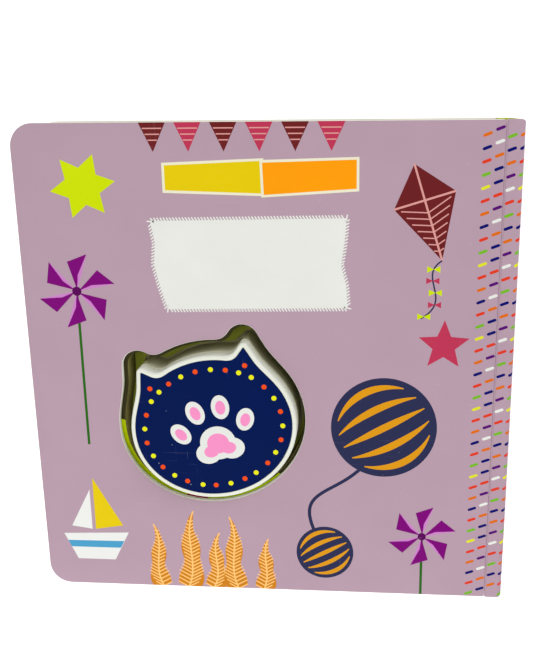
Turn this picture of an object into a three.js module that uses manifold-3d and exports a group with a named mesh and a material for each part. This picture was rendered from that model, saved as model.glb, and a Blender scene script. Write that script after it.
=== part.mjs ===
// A square board book for small children, with a sound module behind its last leaf.
// Pressing the head-shaped button that stands in the window of cover and leaves plays the sound.
// Millimetres. +Z leaves the front cover, +Y runs to the head of the page, +X to the spine.
// The origin is the middle of the book's underside.
import * as THREE from "three";
import { mergeVertices } from "three/addons/utils/BufferGeometryUtils.js";
import Module from "manifold-3d";

const wasm = await Module();
wasm.setup();

// Boards and leaves
const bookWidth = 178;
const bookHeight = 180;
const coverBoard = 2.2;
const coverEdgeRound = 0.35;
const foreCornerRadius = 8.5;
const hingeCornerRadius = 0.8;
const creaseFromSpine = 6.3;
const creaseGap = 0.5;
const spineWall = 1.6;
const boxPastCrease = 2;
const spineEdgeRound = 1.8;
const pageInset = 0.6;
const leafCount = 5;
const leafBoard = 1.7;
const leafGroove = 0.25;
const leafGrooveDepth = 1.2;
const restGap = 0.3;
const coverLift = 0.6;
const glueLine = 0.15;

// Head-shaped button: skull ellipse with two round-tipped ears, tilted on the page
const headFromForeEdge = 68.9;
const headFromFoot = 68.8;
const headTilt = THREE.MathUtils.degToRad(15);
const skullHalfWidth = 31.4;
const skullHalfHeight = 28;
const earTipX = 19.7;
const earTipY = 27;
const earInnerX = 11.8;
const earInnerY = 20.2;
const earOuterX = 26.2;
const earOuterY = 7;
const earRound = 2;
const earFillet = 3;
const buttonProud = 3;
const capDepth = 4.2;
const capWall = 2.2;
const capRoof = 2;
const capEdgeRound = 0.8;
const buttonTravel = 0.7;
const travelSpare = 0.3;
const collarWall = 1.6;
const tongueWall = 1.4;
const tongueDepth = 3;
const slideClearance = 0.4;
const coverWindowGap = 4;
const coverWindowShift = -1.1;
const coverWindowRise = 1.1;
const leafWindowGap = 3;
const leafWindowShift = -0.8;
const leafWindowRise = 0.8;
const lastLeafWindowGap = 1;
const sheetThickness = 0.3;
const sheetMargin = 1.6;

// Sound module
const moduleDepth = 8.6;
const housingWall = 1.4;
const housingFloor = 1.2;
const deckThickness = 1.3;
const housingMargin = 6.4;
const housingLength = 116;
const housingCorner = 8;
const housingClearance = 0.5;
const bossInset = 7;
const bossRadius = 2.9;
const padRadius = 3.8;
const screwShankRadius = 1;
const screwHeadRadius = 2.1;
const screwHeadHeight = 1;
const threadClearance = 0.12;

const postCircle = 19.5;
const postRadius = 2.5;
const plungerRadius = 2.2;
const capScrewHeadRadius = 3.4;
const capScrewHeadHeight = 1.4;
const capScrewLength = 6;
const springWire = 0.35;
const springTurns = 6;

const boardLength = 40;
const boardWidth = 30;
const boardThickness = 1.2;
const boardStandoff = 1.2;
const boardPostInset = 4;
const domeRadius = 4.2;
const domeHeight = 2.5;
const chipRadius = 3.6;
const chipHeight = 1.2;
const chipOffsetX = 11;
const chipOffsetY = 8;

const speakerRadius = 15;
const speakerDepth = 5;
const speakerFromHousingEnd = 23;
const speakerFromHeadY = 16;
const magnetRadius = 8;
const speakerRingWall = 1.2;
const speakerRingHeight = 2.2;
const grilleHoleRadius = 1.1;
const grilleRingPitch = 4.5;
const grilleRings = 2;

const cellCount = 3;
const cellRadius = 5.8;
const cellHeight = 5.4;
const cellPitch = 12.2;
const cellsFromHeadY = -19;
const contactThickness = 0.3;
const contactWidth = 6;
const bayClearance = 0.7;
const bayWall = 1.2;
const doorThickness = 1.9;
const doorMargin = 2.2;
const doorScrewRoom = 7.5;
const doorCorner = 2;
const doorClearance = 0.3;
const leadRadius = 0.45;
const leadInset = 3;
const leadHalfSpacing = 2;
const leadRise = 5;
const leadDrop = 4;
const leadFromMagnet = 1.6;
const doorScrewShort = 2;
const screwPoint = 1;

const cornerSteps = 7;
const roundSides = 16;
const smallSides = 10;
const headSideSteps = 15;
const headEarSteps = 14;
const headCrownSteps = 5;
const headEarSpan = THREE.MathUtils.degToRad(20);
const weldDistance = 1e-4;

// Levels, from the underside up
const backTop = coverBoard;
const frameLow = backTop + glueLine;
const frameTop = frameLow + moduleDepth;
const lastLeafLow = frameTop + glueLine;
const lastLeafTop = lastLeafLow + leafBoard;
const blockLow = lastLeafTop + restGap;
const blockTop = blockLow + leafCount * leafBoard + (leafCount - 1) * leafGroove;
const frontLow = blockTop + coverLift;
const frontTop = frontLow + coverBoard;
const buttonTop = frontTop + buttonProud;
const capLow = buttonTop - capDepth;
const capCeiling = buttonTop - capRoof;
const collarTop = capLow - buttonTravel - travelSpare;
const deckTop = frameTop - glueLine;
const deckLow = deckTop - deckThickness;
const trayLow = frameLow + glueLine;
const trayFloorTop = trayLow + housingFloor;
const trayTop = deckLow - glueLine;
const boardLow = trayFloorTop + boardStandoff + glueLine;
const boardTop = boardLow + boardThickness;
const domeLow = boardTop + glueLine;
const domeTop = domeLow + domeHeight;
const plungerTip = domeTop + restGap;
const postFoot = deckLow - glueLine;
const doorTop = trayLow - glueLine;
const doorLow = doorTop - doorThickness;
const doorContactLow = doorTop + glueLine;
const cellLow = doorContactLow + contactThickness + glueLine;
const cellTop = cellLow + cellHeight;
const topContactLow = cellTop + glueLine;

// Places on the page
const foreEdge = -bookWidth / 2;
const spineEdge = bookWidth / 2;
const headEdge = bookHeight / 2;
const creaseX = spineEdge - creaseFromSpine;
const coverRight = creaseX - creaseGap / 2;
const stripLeft = creaseX + creaseGap / 2;
const boxRight = creaseX + boxPastCrease;
const headX = foreEdge + headFromForeEdge;
const headY = -headEdge + headFromFoot;
const housingLeft = headX - skullHalfWidth - housingMargin;
const housingRight = housingLeft + housingLength;
const housingHalfHeight = skullHalfWidth + housingMargin;
const housingBottom = headY - housingHalfHeight;
const housingTopEdge = headY + housingHalfHeight;
const speakerX = housingRight - speakerFromHousingEnd;
const speakerY = headY + speakerFromHeadY;
const cellsX = speakerX;
const cellsY = headY + cellsFromHeadY;
const bayHalfWidth = ((cellCount - 1) * cellPitch) / 2 + cellRadius + bayClearance;
const bayHalfHeight = cellRadius + bayClearance;
const doorLeft = cellsX - bayHalfWidth - doorScrewRoom;
const doorRight = cellsX + bayHalfWidth + doorMargin;
const doorScrewX = doorLeft + doorScrewRoom / 2;

// Solids

function solidFrom(geometry) {
  const bare = geometry.clone();
  bare.deleteAttribute("normal");
  bare.deleteAttribute("uv");
  const merged = mergeVertices(bare, weldDistance);
  const triVerts = new Uint32Array(merged.index.array);
  const vertProperties = merged.attributes.position.array;
  return new wasm.Manifold(new wasm.Mesh({ numProp: 3, vertProperties, triVerts }));
}

function geometryFrom(solid) {
  const mesh = solid.getMesh();
  const geometry = new THREE.BufferGeometry();
  geometry.setAttribute("position", new THREE.BufferAttribute(mesh.vertProperties, 3));
  geometry.setIndex(new THREE.BufferAttribute(mesh.triVerts, 1));
  geometry.computeVertexNormals();
  return geometry;
}

function joined(solids) {
  return solids.reduce((whole, solid) => whole.add(solid));
}

function without(solid, cuts) {
  return cuts.reduce((rest, cut) => rest.subtract(cut), solid);
}

// A flat piece with the given outline between two heights; edgeRound softens its edges.
function plate(outline, low, high, holes = [], edgeRound = 0) {
  const shape = new THREE.Shape(outline);
  shape.holes = holes.map((hole) => new THREE.Path(hole));
  const geometry = new THREE.ExtrudeGeometry(shape, {
    depth: high - low - 2 * edgeRound,
    bevelEnabled: edgeRound > 0,
    bevelThickness: edgeRound,
    bevelSize: edgeRound,
    bevelOffset: -edgeRound,
    bevelSegments: 1,
    steps: 1,
  });
  geometry.translate(0, 0, low + edgeRound);
  return solidFrom(geometry);
}

// A closed solid through a stack of outlines that have the same number of points.
function loft(rings) {
  const count = rings[0].outline.length;
  const positions = rings.flatMap(({ outline, z }) => outline.flatMap((point) => [point.x, point.y, z]));
  const faces = [];
  for (let level = 1; level < rings.length; level += 1) {
    const low = (level - 1) * count;
    const high = level * count;
    for (let i = 0; i < count; i += 1) {
      const next = (i + 1) % count;
      faces.push(low + i, low + next, high + next, low + i, high + next, high + i);
    }
  }
  const last = (rings.length - 1) * count;
  THREE.ShapeUtils.triangulateShape(rings[0].outline, []).forEach(([a, b, c]) => faces.push(c, b, a));
  THREE.ShapeUtils.triangulateShape(rings.at(-1).outline, []).forEach(([a, b, c]) => {
    faces.push(last + a, last + b, last + c);
  });
  const geometry = new THREE.BufferGeometry();
  geometry.setAttribute("position", new THREE.Float32BufferAttribute(positions, 3));
  geometry.setIndex(faces);
  return solidFrom(geometry);
}

function disc(x, y, radius, low, high, sides = roundSides) {
  const geometry = new THREE.CylinderGeometry(radius, radius, high - low, sides);
  geometry.rotateX(Math.PI / 2);
  geometry.translate(x, y, (low + high) / 2);
  return solidFrom(geometry);
}

// A turned piece: the profile's points are radius and height, from the foot up.
function turned(x, y, profile, sides = roundSides) {
  const points = profile.map(([radius, height]) => new THREE.Vector2(radius, height));
  const geometry = new THREE.LatheGeometry(points, sides);
  geometry.rotateX(Math.PI / 2);
  geometry.translate(x, y, 0);
  return solidFrom(geometry);
}

function swept(curve, radius, sides, steps) {
  const section = new THREE.Shape();
  section.absarc(0, 0, radius, 0, 2 * Math.PI);
  const outline = section.getSpacedPoints(sides).slice(0, sides);
  const geometry = new THREE.ExtrudeGeometry(new THREE.Shape(outline), {
    extrudePath: curve,
    steps,
    bevelEnabled: false,
  });
  return solidFrom(geometry);
}

// Outlines

function arcPoints(x, y, radius, from, to) {
  const steps = THREE.MathUtils.clamp(Math.ceil(2 * radius), 2, cornerSteps);
  return Array.from({ length: steps + 1 }, (unused, i) => {
    const angle = from + ((to - from) * i) / steps;
    return new THREE.Vector2(x + radius * Math.cos(angle), y + radius * Math.sin(angle));
  });
}

function roundedRectangle(left, right, bottom, top, leftRadius, rightRadius = leftRadius) {
  const quarter = Math.PI / 2;
  return [
    ...arcPoints(right - rightRadius, bottom + rightRadius, rightRadius, -quarter, 0),
    ...arcPoints(right - rightRadius, top - rightRadius, rightRadius, 0, quarter),
    ...arcPoints(left + leftRadius, top - leftRadius, leftRadius, quarter, 2 * quarter),
    ...arcPoints(left + leftRadius, bottom + leftRadius, leftRadius, 2 * quarter, 3 * quarter),
  ];
}

function pageOutline(right, inset = pageInset) {
  const fore = foreEdge + inset;
  const head = headEdge - inset;
  return roundedRectangle(fore, right, -head, head, foreCornerRadius, hingeCornerRadius);
}

// Distance from a point to the head's outline, in the head's own axes; negative inside.
function skullDistance(x, y) {
  const reach = Math.hypot(x / skullHalfWidth, y / skullHalfHeight);
  const slope = Math.hypot(x / skullHalfWidth ** 2, y / skullHalfHeight ** 2);
  return (reach * (reach - 1)) / slope;
}

function earDistance(x, y) {
  const corners = [
    [earInnerX, earInnerY],
    [earOuterX, earOuterY],
    [earTipX, earTipY],
  ];
  let nearest = Infinity;
  let inside = true;
  corners.forEach(([cornerX, cornerY], i) => {
    const [nextX, nextY] = corners[(i + 1) % corners.length];
    const edgeX = nextX - cornerX;
    const edgeY = nextY - cornerY;
    const reachX = x - cornerX;
    const reachY = y - cornerY;
    const along = (reachX * edgeX + reachY * edgeY) / (edgeX ** 2 + edgeY ** 2);
    const held = THREE.MathUtils.clamp(along, 0, 1);
    nearest = Math.min(nearest, Math.hypot(reachX - held * edgeX, reachY - held * edgeY));
    inside = inside && edgeX * reachY - edgeY * reachX > 0;
  });
  return (inside ? -nearest : nearest) - earRound;
}

function headDistance(x, y) {
  const skull = skullDistance(x, y);
  const ear = earDistance(Math.abs(x), y);
  const blend = Math.max(earFillet - Math.abs(skull - ear), 0) / earFillet;
  return Math.min(skull, ear) - (blend ** 2 * earFillet) / 4;
}

function headAngles() {
  const ear = Math.atan2(earTipY, earTipX);
  const spans = [
    [-Math.PI / 2, ear - headEarSpan, headSideSteps],
    [ear - headEarSpan, ear + headEarSpan, headEarSteps],
    [ear + headEarSpan, Math.PI - ear - headEarSpan, headCrownSteps],
    [Math.PI - ear - headEarSpan, Math.PI - ear + headEarSpan, headEarSteps],
    [Math.PI - ear + headEarSpan, 1.5 * Math.PI, headSideSteps],
  ];
  return spans.flatMap(([from, to, steps]) =>
    Array.from({ length: steps }, (unused, i) => from + ((to - from) * i) / steps),
  );
}

// The head's outline on the page, grown by an offset; shiftY moves it up the page.
function headOutline(offset, shiftX = 0, shiftY = 0) {
  return headAngles().map((angle) => {
    let inner = 0;
    let outer = 2 * skullHalfWidth;
    while (outer - inner > 1e-4) {
      const middle = (inner + outer) / 2;
      if (headDistance(middle * Math.cos(angle), middle * Math.sin(angle)) < offset) {
        inner = middle;
      } else {
        outer = middle;
      }
    }
    const turn = angle + headTilt;
    const place = new THREE.Vector2(headX + shiftX, headY + shiftY);
    return place.add(new THREE.Vector2(Math.cos(turn), Math.sin(turn)).multiplyScalar(inner));
  });
}

const postPlaces = [0, 1, 2].map((i) => {
  const angle = headTilt + Math.PI / 2 + (i * 2 * Math.PI) / 3;
  return [headX + postCircle * Math.cos(angle), headY + postCircle * Math.sin(angle)];
});

const bossPlaces = [
  [housingLeft + bossInset, housingBottom + bossInset],
  [housingRight - bossInset, housingBottom + bossInset],
  [housingRight - bossInset, housingTopEdge - bossInset],
  [housingLeft + bossInset, housingTopEdge - bossInset],
];

const grillePlaces = Array.from({ length: grilleRings + 1 }, (unused, ring) => {
  const count = Math.max(1, 6 * ring);
  return Array.from({ length: count }, (empty, i) => {
    const angle = (i * 2 * Math.PI) / count;
    const radius = ring * grilleRingPitch;
    return [speakerX + radius * Math.cos(angle), speakerY + radius * Math.sin(angle)];
  });
}).flat();

const cellPlaces = Array.from({ length: cellCount }, (unused, i) => {
  return cellsX + (i - (cellCount - 1) / 2) * cellPitch;
});

function grilleHoles(low, high) {
  return grillePlaces.map(([x, y]) => disc(x, y, grilleHoleRadius, low, high, smallSides));
}

function doorOutline(grow) {
  const half = bayHalfHeight + doorMargin + grow;
  return roundedRectangle(doorLeft - grow, doorRight + grow, cellsY - half, cellsY + half, doorCorner);
}

function bayOutline(grow) {
  const right = cellsX + bayHalfWidth + grow;
  const left = cellsX - bayHalfWidth - grow;
  const half = bayHalfHeight + grow;
  return roundedRectangle(left, right, cellsY - half, cellsY + half, doorCorner);
}

// Paper and board

function makeFrontCover() {
  const outline = roundedRectangle(
    foreEdge,
    coverRight,
    -headEdge,
    headEdge,
    foreCornerRadius,
    hingeCornerRadius,
  );
  const window = headOutline(coverWindowGap, coverWindowShift, coverWindowRise);
  return plate(outline, frontLow, frontTop, [window], coverEdgeRound);
}

function makeBackCover() {
  const outline = roundedRectangle(
    foreEdge,
    coverRight,
    -headEdge,
    headEdge,
    foreCornerRadius,
    hingeCornerRadius,
  );
  const board = plate(outline, 0, backTop, [], coverEdgeRound);
  const doorway = plate(doorOutline(doorClearance), -1, backTop + 1);
  return without(board, [doorway, ...grilleHoles(-1, backTop + 1)]);
}

// The spine with its two hinge strips, a C in section with rounded outer edges.
function makeSpineWrap() {
  const quarter = Math.PI / 2;
  const roundX = spineEdge - spineEdgeRound;
  const innerX = spineEdge - spineWall;
  const profile = [
    ...arcPoints(roundX, spineEdgeRound, spineEdgeRound, -quarter, 0),
    ...arcPoints(roundX, frontTop - spineEdgeRound, spineEdgeRound, 0, quarter),
    new THREE.Vector2(stripLeft, frontTop),
    new THREE.Vector2(stripLeft, frontLow),
    new THREE.Vector2(innerX, frontLow),
    new THREE.Vector2(innerX, backTop),
    new THREE.Vector2(stripLeft, backTop),
    new THREE.Vector2(stripLeft, 0),
  ];
  const geometry = new THREE.ExtrudeGeometry(new THREE.Shape(profile), {
    depth: bookHeight,
    bevelEnabled: false,
  });
  geometry.rotateX(Math.PI / 2);
  geometry.translate(0, headEdge, 0);
  return solidFrom(geometry);
}

// Die-cut leaves on one bound core; the core stays back from every open edge, which leaves the grooves.
function makePageBlock() {
  const right = spineEdge - spineWall - restGap;
  const leaves = Array.from({ length: leafCount }, (unused, i) => {
    const low = blockLow + i * (leafBoard + leafGroove);
    const window = headOutline(leafWindowGap, leafWindowShift, leafWindowRise);
    return plate(pageOutline(right), low, low + leafBoard, [window]);
  });
  const core = plate(
    pageOutline(right - glueLine, pageInset + leafGrooveDepth),
    blockLow + leafBoard / 2,
    blockTop - leafBoard / 2,
    [headOutline(leafWindowGap + leafGrooveDepth, leafWindowShift, leafWindowRise)],
  );
  return joined([core, ...leaves]);
}

function makeLastLeaf() {
  return plate(pageOutline(boxRight), lastLeafLow, lastLeafTop, [headOutline(lastLeafWindowGap)]);
}

function housingOutline(grow) {
  return roundedRectangle(
    housingLeft - grow,
    housingRight + grow,
    housingBottom - grow,
    housingTopEdge + grow,
    housingCorner + grow,
  );
}

function makeSpacerFrame() {
  return plate(pageOutline(boxRight), frameLow, frameTop, [housingOutline(housingClearance)]);
}

// Button

function makeButtonCap() {
  const rounding = [0, 0.5, 1].map((part) => {
    const angle = (part * Math.PI) / 2;
    return {
      outline: headOutline(-capEdgeRound * (1 - Math.cos(angle))),
      z: buttonTop - capEdgeRound * (1 - Math.sin(angle)),
    };
  });
  const shell = without(loft([{ outline: headOutline(0), z: capLow }, ...rounding]), [
    plate(headOutline(-capWall), capLow - 1, capCeiling),
    plate(headOutline(-sheetMargin), buttonTop - sheetThickness - glueLine, buttonTop + 1),
  ]);
  const tongueOffset = -collarWall - slideClearance;
  const tongue = plate(headOutline(tongueOffset), capLow - tongueDepth, capCeiling + glueLine, [
    headOutline(tongueOffset - tongueWall),
  ]);
  const posts = postPlaces.map(([x, y]) => disc(x, y, postRadius, postFoot, capCeiling + glueLine));
  const plunger = disc(headX, headY, plungerRadius, plungerTip, capCeiling + glueLine);
  const pilots = postPlaces.map(([x, y]) => {
    const radius = screwShankRadius + threadClearance;
    return disc(x, y, radius, postFoot - 1, postFoot + capScrewLength + restGap, smallSides);
  });
  return without(joined([shell, tongue, ...posts, plunger]), pilots);
}

function makeFaceSheet() {
  const outline = headOutline(-sheetMargin - glueLine);
  return plate(outline, buttonTop - sheetThickness, buttonTop);
}

function makeCapScrew([x, y]) {
  const headTop = postFoot - glueLine;
  const headLow = headTop - capScrewHeadHeight;
  return turned(
    x,
    y,
    [
      [0, headLow],
      [capScrewHeadRadius * 0.8, headLow],
      [capScrewHeadRadius, headLow + capScrewHeadHeight / 2],
      [capScrewHeadRadius, headTop],
      [screwShankRadius, headTop],
      [screwShankRadius, postFoot + capScrewLength - screwShankRadius],
      [0, postFoot + capScrewLength],
    ],
    smallSides,
  );
}

class Helix extends THREE.Curve {
  constructor(x, y, radius, low, high, turns) {
    super();
    Object.assign(this, { x, y, radius, low, high, turns });
  }

  getPoint(t) {
    const angle = t * this.turns * 2 * Math.PI;
    return new THREE.Vector3(
      this.x + this.radius * Math.cos(angle),
      this.y + this.radius * Math.sin(angle),
      THREE.MathUtils.lerp(this.low, this.high, t),
    );
  }
}

function makeReturnSpring([x, y]) {
  const radius = postRadius + slideClearance + 2 * springWire;
  const low = deckTop + glueLine + springWire;
  const high = capCeiling - glueLine - springWire;
  return swept(new Helix(x, y, radius, low, high, springTurns), springWire, 6, 9 * springTurns);
}

// Sound module

function makeUpperHousing() {
  const deck = plate(housingOutline(0), deckLow, deckTop);
  const collar = plate(headOutline(0), deckLow + glueLine, collarTop, [headOutline(-collarWall)]);
  const bosses = bossPlaces.map(([x, y]) =>
    disc(x, y, bossRadius, trayFloorTop + screwHeadHeight + restGap, deckLow + glueLine, smallSides),
  );
  const pilots = bossPlaces.map(([x, y]) =>
    disc(x, y, screwShankRadius + threadClearance, trayLow, deckLow, smallSides),
  );
  const postHoles = postPlaces.map(([x, y]) => {
    return disc(x, y, postRadius + slideClearance, deckLow - 1, deckTop + 1);
  });
  const plungerHole = disc(headX, headY, plungerRadius + slideClearance, deckLow - 1, deckTop + 1);
  return without(joined([deck, collar, ...bosses]), [...pilots, ...postHoles, plungerHole]);
}

function makeLowerHousing() {
  const shell = without(plate(housingOutline(0), trayLow, trayTop), [
    plate(housingOutline(-housingWall), trayFloorTop, trayTop + 1),
  ]);
  const pads = bossPlaces.map(([x, y]) =>
    disc(x, y, padRadius, trayFloorTop - glueLine, trayFloorTop + screwHeadHeight, smallSides),
  );
  const ring = without(
    disc(
      speakerX,
      speakerY,
      speakerRadius + restGap + speakerRingWall,
      trayFloorTop - glueLine,
      trayFloorTop + speakerRingHeight,
      2 * roundSides,
    ),
    [disc(speakerX, speakerY, speakerRadius + restGap, trayFloorTop, trayTop, 2 * roundSides)],
  );
  const bayWalls = plate(bayOutline(bayWall), trayFloorTop - glueLine, topContactLow + contactThickness);
  const boardX = boardLength / 2 - boardPostInset;
  const boardY = boardWidth / 2 - boardPostInset;
  const standoffs = [-1, 1].flatMap((sideX) =>
    [-1, 1].map((sideY) =>
      disc(
        headX + sideX * boardX,
        headY + sideY * boardY,
        postRadius,
        trayFloorTop - glueLine,
        trayFloorTop + boardStandoff,
        smallSides,
      ),
    ),
  );
  const screwBoss = disc(doorScrewX, cellsY, bossRadius, trayFloorTop - glueLine, cellTop, smallSides);
  const screwHoles = bossPlaces.flatMap(([x, y]) => [
    disc(x, y, screwShankRadius + restGap, trayLow - 1, trayTop, smallSides),
    disc(x, y, screwHeadRadius + restGap, trayLow - 1, trayLow + screwHeadHeight + restGap, smallSides),
  ]);
  const cuts = [
    ...screwHoles,
    ...grilleHoles(trayLow - 1, trayFloorTop + glueLine),
    plate(bayOutline(0), trayLow - 1, trayTop),
    disc(doorScrewX, cellsY, screwShankRadius + threadClearance, trayLow - 1, cellTop - 1, smallSides),
  ];
  return without(joined([shell, ...pads, ring, bayWalls, ...standoffs, screwBoss]), cuts);
}

function makeHousingScrew([x, y]) {
  const low = trayLow + glueLine;
  const headTop = low + screwHeadHeight;
  return turned(
    x,
    y,
    [
      [0, low],
      [screwHeadRadius, low],
      [screwHeadRadius, headTop],
      [screwShankRadius, headTop],
      [screwShankRadius, deckLow - screwHeadHeight - restGap],
      [0, deckLow - screwHeadHeight],
    ],
    smallSides,
  );
}

function makeCircuitBoard() {
  const left = headX - boardLength / 2;
  const low = headY - boardWidth / 2;
  return plate(roundedRectangle(left, left + boardLength, low, low + boardWidth, 2), boardLow, boardTop);
}

function makeChipBlob() {
  const low = boardTop + glueLine;
  return turned(headX + chipOffsetX, headY + chipOffsetY, [
    [0, low],
    [chipRadius, low],
    [chipRadius * 0.92, low + chipHeight * 0.45],
    [chipRadius * 0.6, low + chipHeight * 0.85],
    [0, low + chipHeight],
  ]);
}

function makeRubberDome() {
  return turned(headX, headY, [
    [0, domeLow],
    [domeRadius, domeLow],
    [domeRadius, domeLow + domeHeight * 0.2],
    [domeRadius * 0.75, domeLow + domeHeight * 0.3],
    [domeRadius * 0.5, domeTop - domeHeight * 0.1],
    [domeRadius * 0.4, domeTop],
    [0, domeTop],
  ]);
}

const speakerLow = trayFloorTop + glueLine;
const speakerTop = speakerLow + speakerDepth;
const basketLip = 1.6;
const basketWall = 0.5;
const basketTop = speakerLow + speakerDepth * 0.46;

function makeSpeakerFrame() {
  const inner = speakerRadius - basketLip;
  const neck = magnetRadius + 1;
  return turned(
    speakerX,
    speakerY,
    [
      [inner, speakerLow],
      [speakerRadius, speakerLow],
      [speakerRadius, speakerLow + 0.8],
      [neck, basketTop],
      [magnetRadius / 2, basketTop],
      [magnetRadius / 2, basketTop - basketWall],
      [neck - basketWall / 2, basketTop - basketWall],
      [inner, speakerLow + 0.5],
      [inner, speakerLow],
    ],
    2 * roundSides,
  );
}

function makeSpeakerCone() {
  const rim = speakerRadius - basketLip - restGap;
  const hub = magnetRadius / 2;
  const paper = 0.3;
  return turned(
    speakerX,
    speakerY,
    [
      [0, speakerLow + 0.3],
      [hub * 0.7, speakerLow + 0.5],
      [hub, speakerLow + 0.9],
      [rim, speakerLow + 0.1],
      [rim, speakerLow + 0.1 + paper],
      [hub, speakerLow + 0.9 + paper],
      [0, speakerLow + 0.6 + paper],
    ],
    2 * roundSides,
  );
}

function makeSpeakerMagnet() {
  const low = basketTop + glueLine;
  const chamfer = 0.5;
  return turned(speakerX, speakerY, [
    [0, low],
    [magnetRadius, low],
    [magnetRadius, speakerTop - chamfer],
    [magnetRadius - chamfer, speakerTop],
    [0, speakerTop],
  ]);
}

function makeCell(x) {
  const can = cellRadius;
  const lid = cellRadius * 0.82;
  const step = 0.35;
  return turned(x, cellsY, [
    [0, cellLow],
    [can - step, cellLow],
    [can, cellLow + step],
    [can, cellTop - 2 * step],
    [can - step, cellTop - step],
    [lid, cellTop - step],
    [lid, cellTop],
    [0, cellTop],
  ]);
}

// A contact strip over or under the cells, with a narrow solder tail towards the board.
function makeContact(fromX, toX, low, tail) {
  const half = contactWidth / 2;
  const strip = plate(
    roundedRectangle(fromX - half, toX + half, cellsY - half, cellsY + half, half / 2),
    low,
    low + contactThickness,
  );
  if (!tail) {
    return strip;
  }
  const reach = bayHalfHeight - glueLine;
  const tailOutline = roundedRectangle(fromX - 1, fromX + 1, cellsY, cellsY + reach, 0.4);
  return strip.add(plate(tailOutline, low, low + contactThickness));
}

function makeBatteryDoor() {
  const door = plate(doorOutline(0), doorLow, doorTop);
  const screwSeat = disc(
    doorScrewX,
    cellsY,
    screwHeadRadius + restGap,
    doorLow - 1,
    doorLow + screwHeadHeight,
    smallSides,
  );
  const screwHole = disc(doorScrewX, cellsY, screwShankRadius + restGap, doorLow - 1, doorTop + 1, smallSides);
  return without(door, [screwSeat, screwHole]);
}

function makeDoorScrew() {
  const headTop = doorLow + screwHeadHeight - glueLine;
  const low = doorLow + glueLine / 2;
  return turned(
    doorScrewX,
    cellsY,
    [
      [0, low],
      [screwHeadRadius, low],
      [screwHeadRadius, headTop],
      [screwShankRadius, headTop],
      [screwShankRadius, cellTop - doorScrewShort - screwPoint],
      [0, cellTop - doorScrewShort],
    ],
    smallSides,
  );
}

// Two short leads from the board over the speaker's rim to its basket.
function makeSpeakerLead(side) {
  const startX = headX + boardLength / 2 - leadInset;
  const startY = headY + leadInset + side * leadHalfSpacing;
  const endX = speakerX - magnetRadius - leadFromMagnet;
  const endY = speakerY - leadDrop + side * leadHalfSpacing;
  const low = boardTop + glueLine + leadRadius;
  const high = trayFloorTop + speakerRingHeight + restGap + leadRadius;
  const route = new THREE.CatmullRomCurve3([
    new THREE.Vector3(startX, startY, low),
    new THREE.Vector3(startX + leadRise, startY, high),
    new THREE.Vector3((startX + endX) / 2, (startY + endY + side * leadHalfSpacing) / 2, high),
    new THREE.Vector3(endX - leadDrop, endY, high),
    new THREE.Vector3(endX, endY, basketTop + restGap + leadRadius),
  ]);
  return swept(route, leadRadius, 8, 18);
}

// Materials and assembly

const finishes = {
  coverPrint: { color: 0xac909d, roughness: 0.38, metalness: 0 },
  boardWhite: { color: 0xe9e8e0, roughness: 0.75, metalness: 0 },
  leafBoard: { color: 0xe4e2d8, roughness: 0.7, metalness: 0 },
  greyBoard: { color: 0xb9b4a8, roughness: 0.9, metalness: 0 },
  whitePlastic: { color: 0xe8eae0, roughness: 0.35, metalness: 0 },
  navyPrint: { color: 0x0b235f, roughness: 0.25, metalness: 0 },
  blackPlastic: { color: 0x23252a, roughness: 0.5, metalness: 0 },
  springSteel: { color: 0xb4b6b8, roughness: 0.3, metalness: 1 },
  screwSteel: { color: 0xa6a7a5, roughness: 0.35, metalness: 1 },
  circuitGreen: { color: 0x1f5e38, roughness: 0.45, metalness: 0 },
  silicone: { color: 0xd9d9d2, roughness: 0.6, metalness: 0 },
  speakerPaper: { color: 0x35332f, roughness: 0.85, metalness: 0 },
  magnetGrey: { color: 0x55575a, roughness: 0.5, metalness: 1 },
  cellSteel: { color: 0xc9cac8, roughness: 0.22, metalness: 1 },
  contactBrass: { color: 0xc8b26a, roughness: 0.35, metalness: 1 },
  leadRed: { color: 0xb3261f, roughness: 0.5, metalness: 0 },
  leadBlack: { color: 0x1c1c1e, roughness: 0.5, metalness: 0 },
};

const book = new THREE.Group();

function group(pieces) {
  const made = new THREE.Group();
  Object.entries(pieces).forEach(([name, [solid, finish]]) => {
    const mesh = new THREE.Mesh(geometryFrom(solid), new THREE.MeshStandardMaterial(finishes[finish]));
    mesh.name = name;
    made.add(mesh);
  });
  book.add(made);
}

function numbered(name, places, make, finish) {
  return Object.fromEntries(places.map((place, i) => [`${name}_${i + 1}`, [make(place), finish]]));
}

group({
  front_cover: [makeFrontCover(), "coverPrint"],
});

group({
  page_block: [makePageBlock(), "leafBoard"],
  spine_wrap: [makeSpineWrap(), "coverPrint"],
});

group({
  button_cap: [makeButtonCap(), "whitePlastic"],
  face_sheet: [makeFaceSheet(), "navyPrint"],
  ...numbered("cap_screw", postPlaces, makeCapScrew, "screwSteel"),
});

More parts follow.
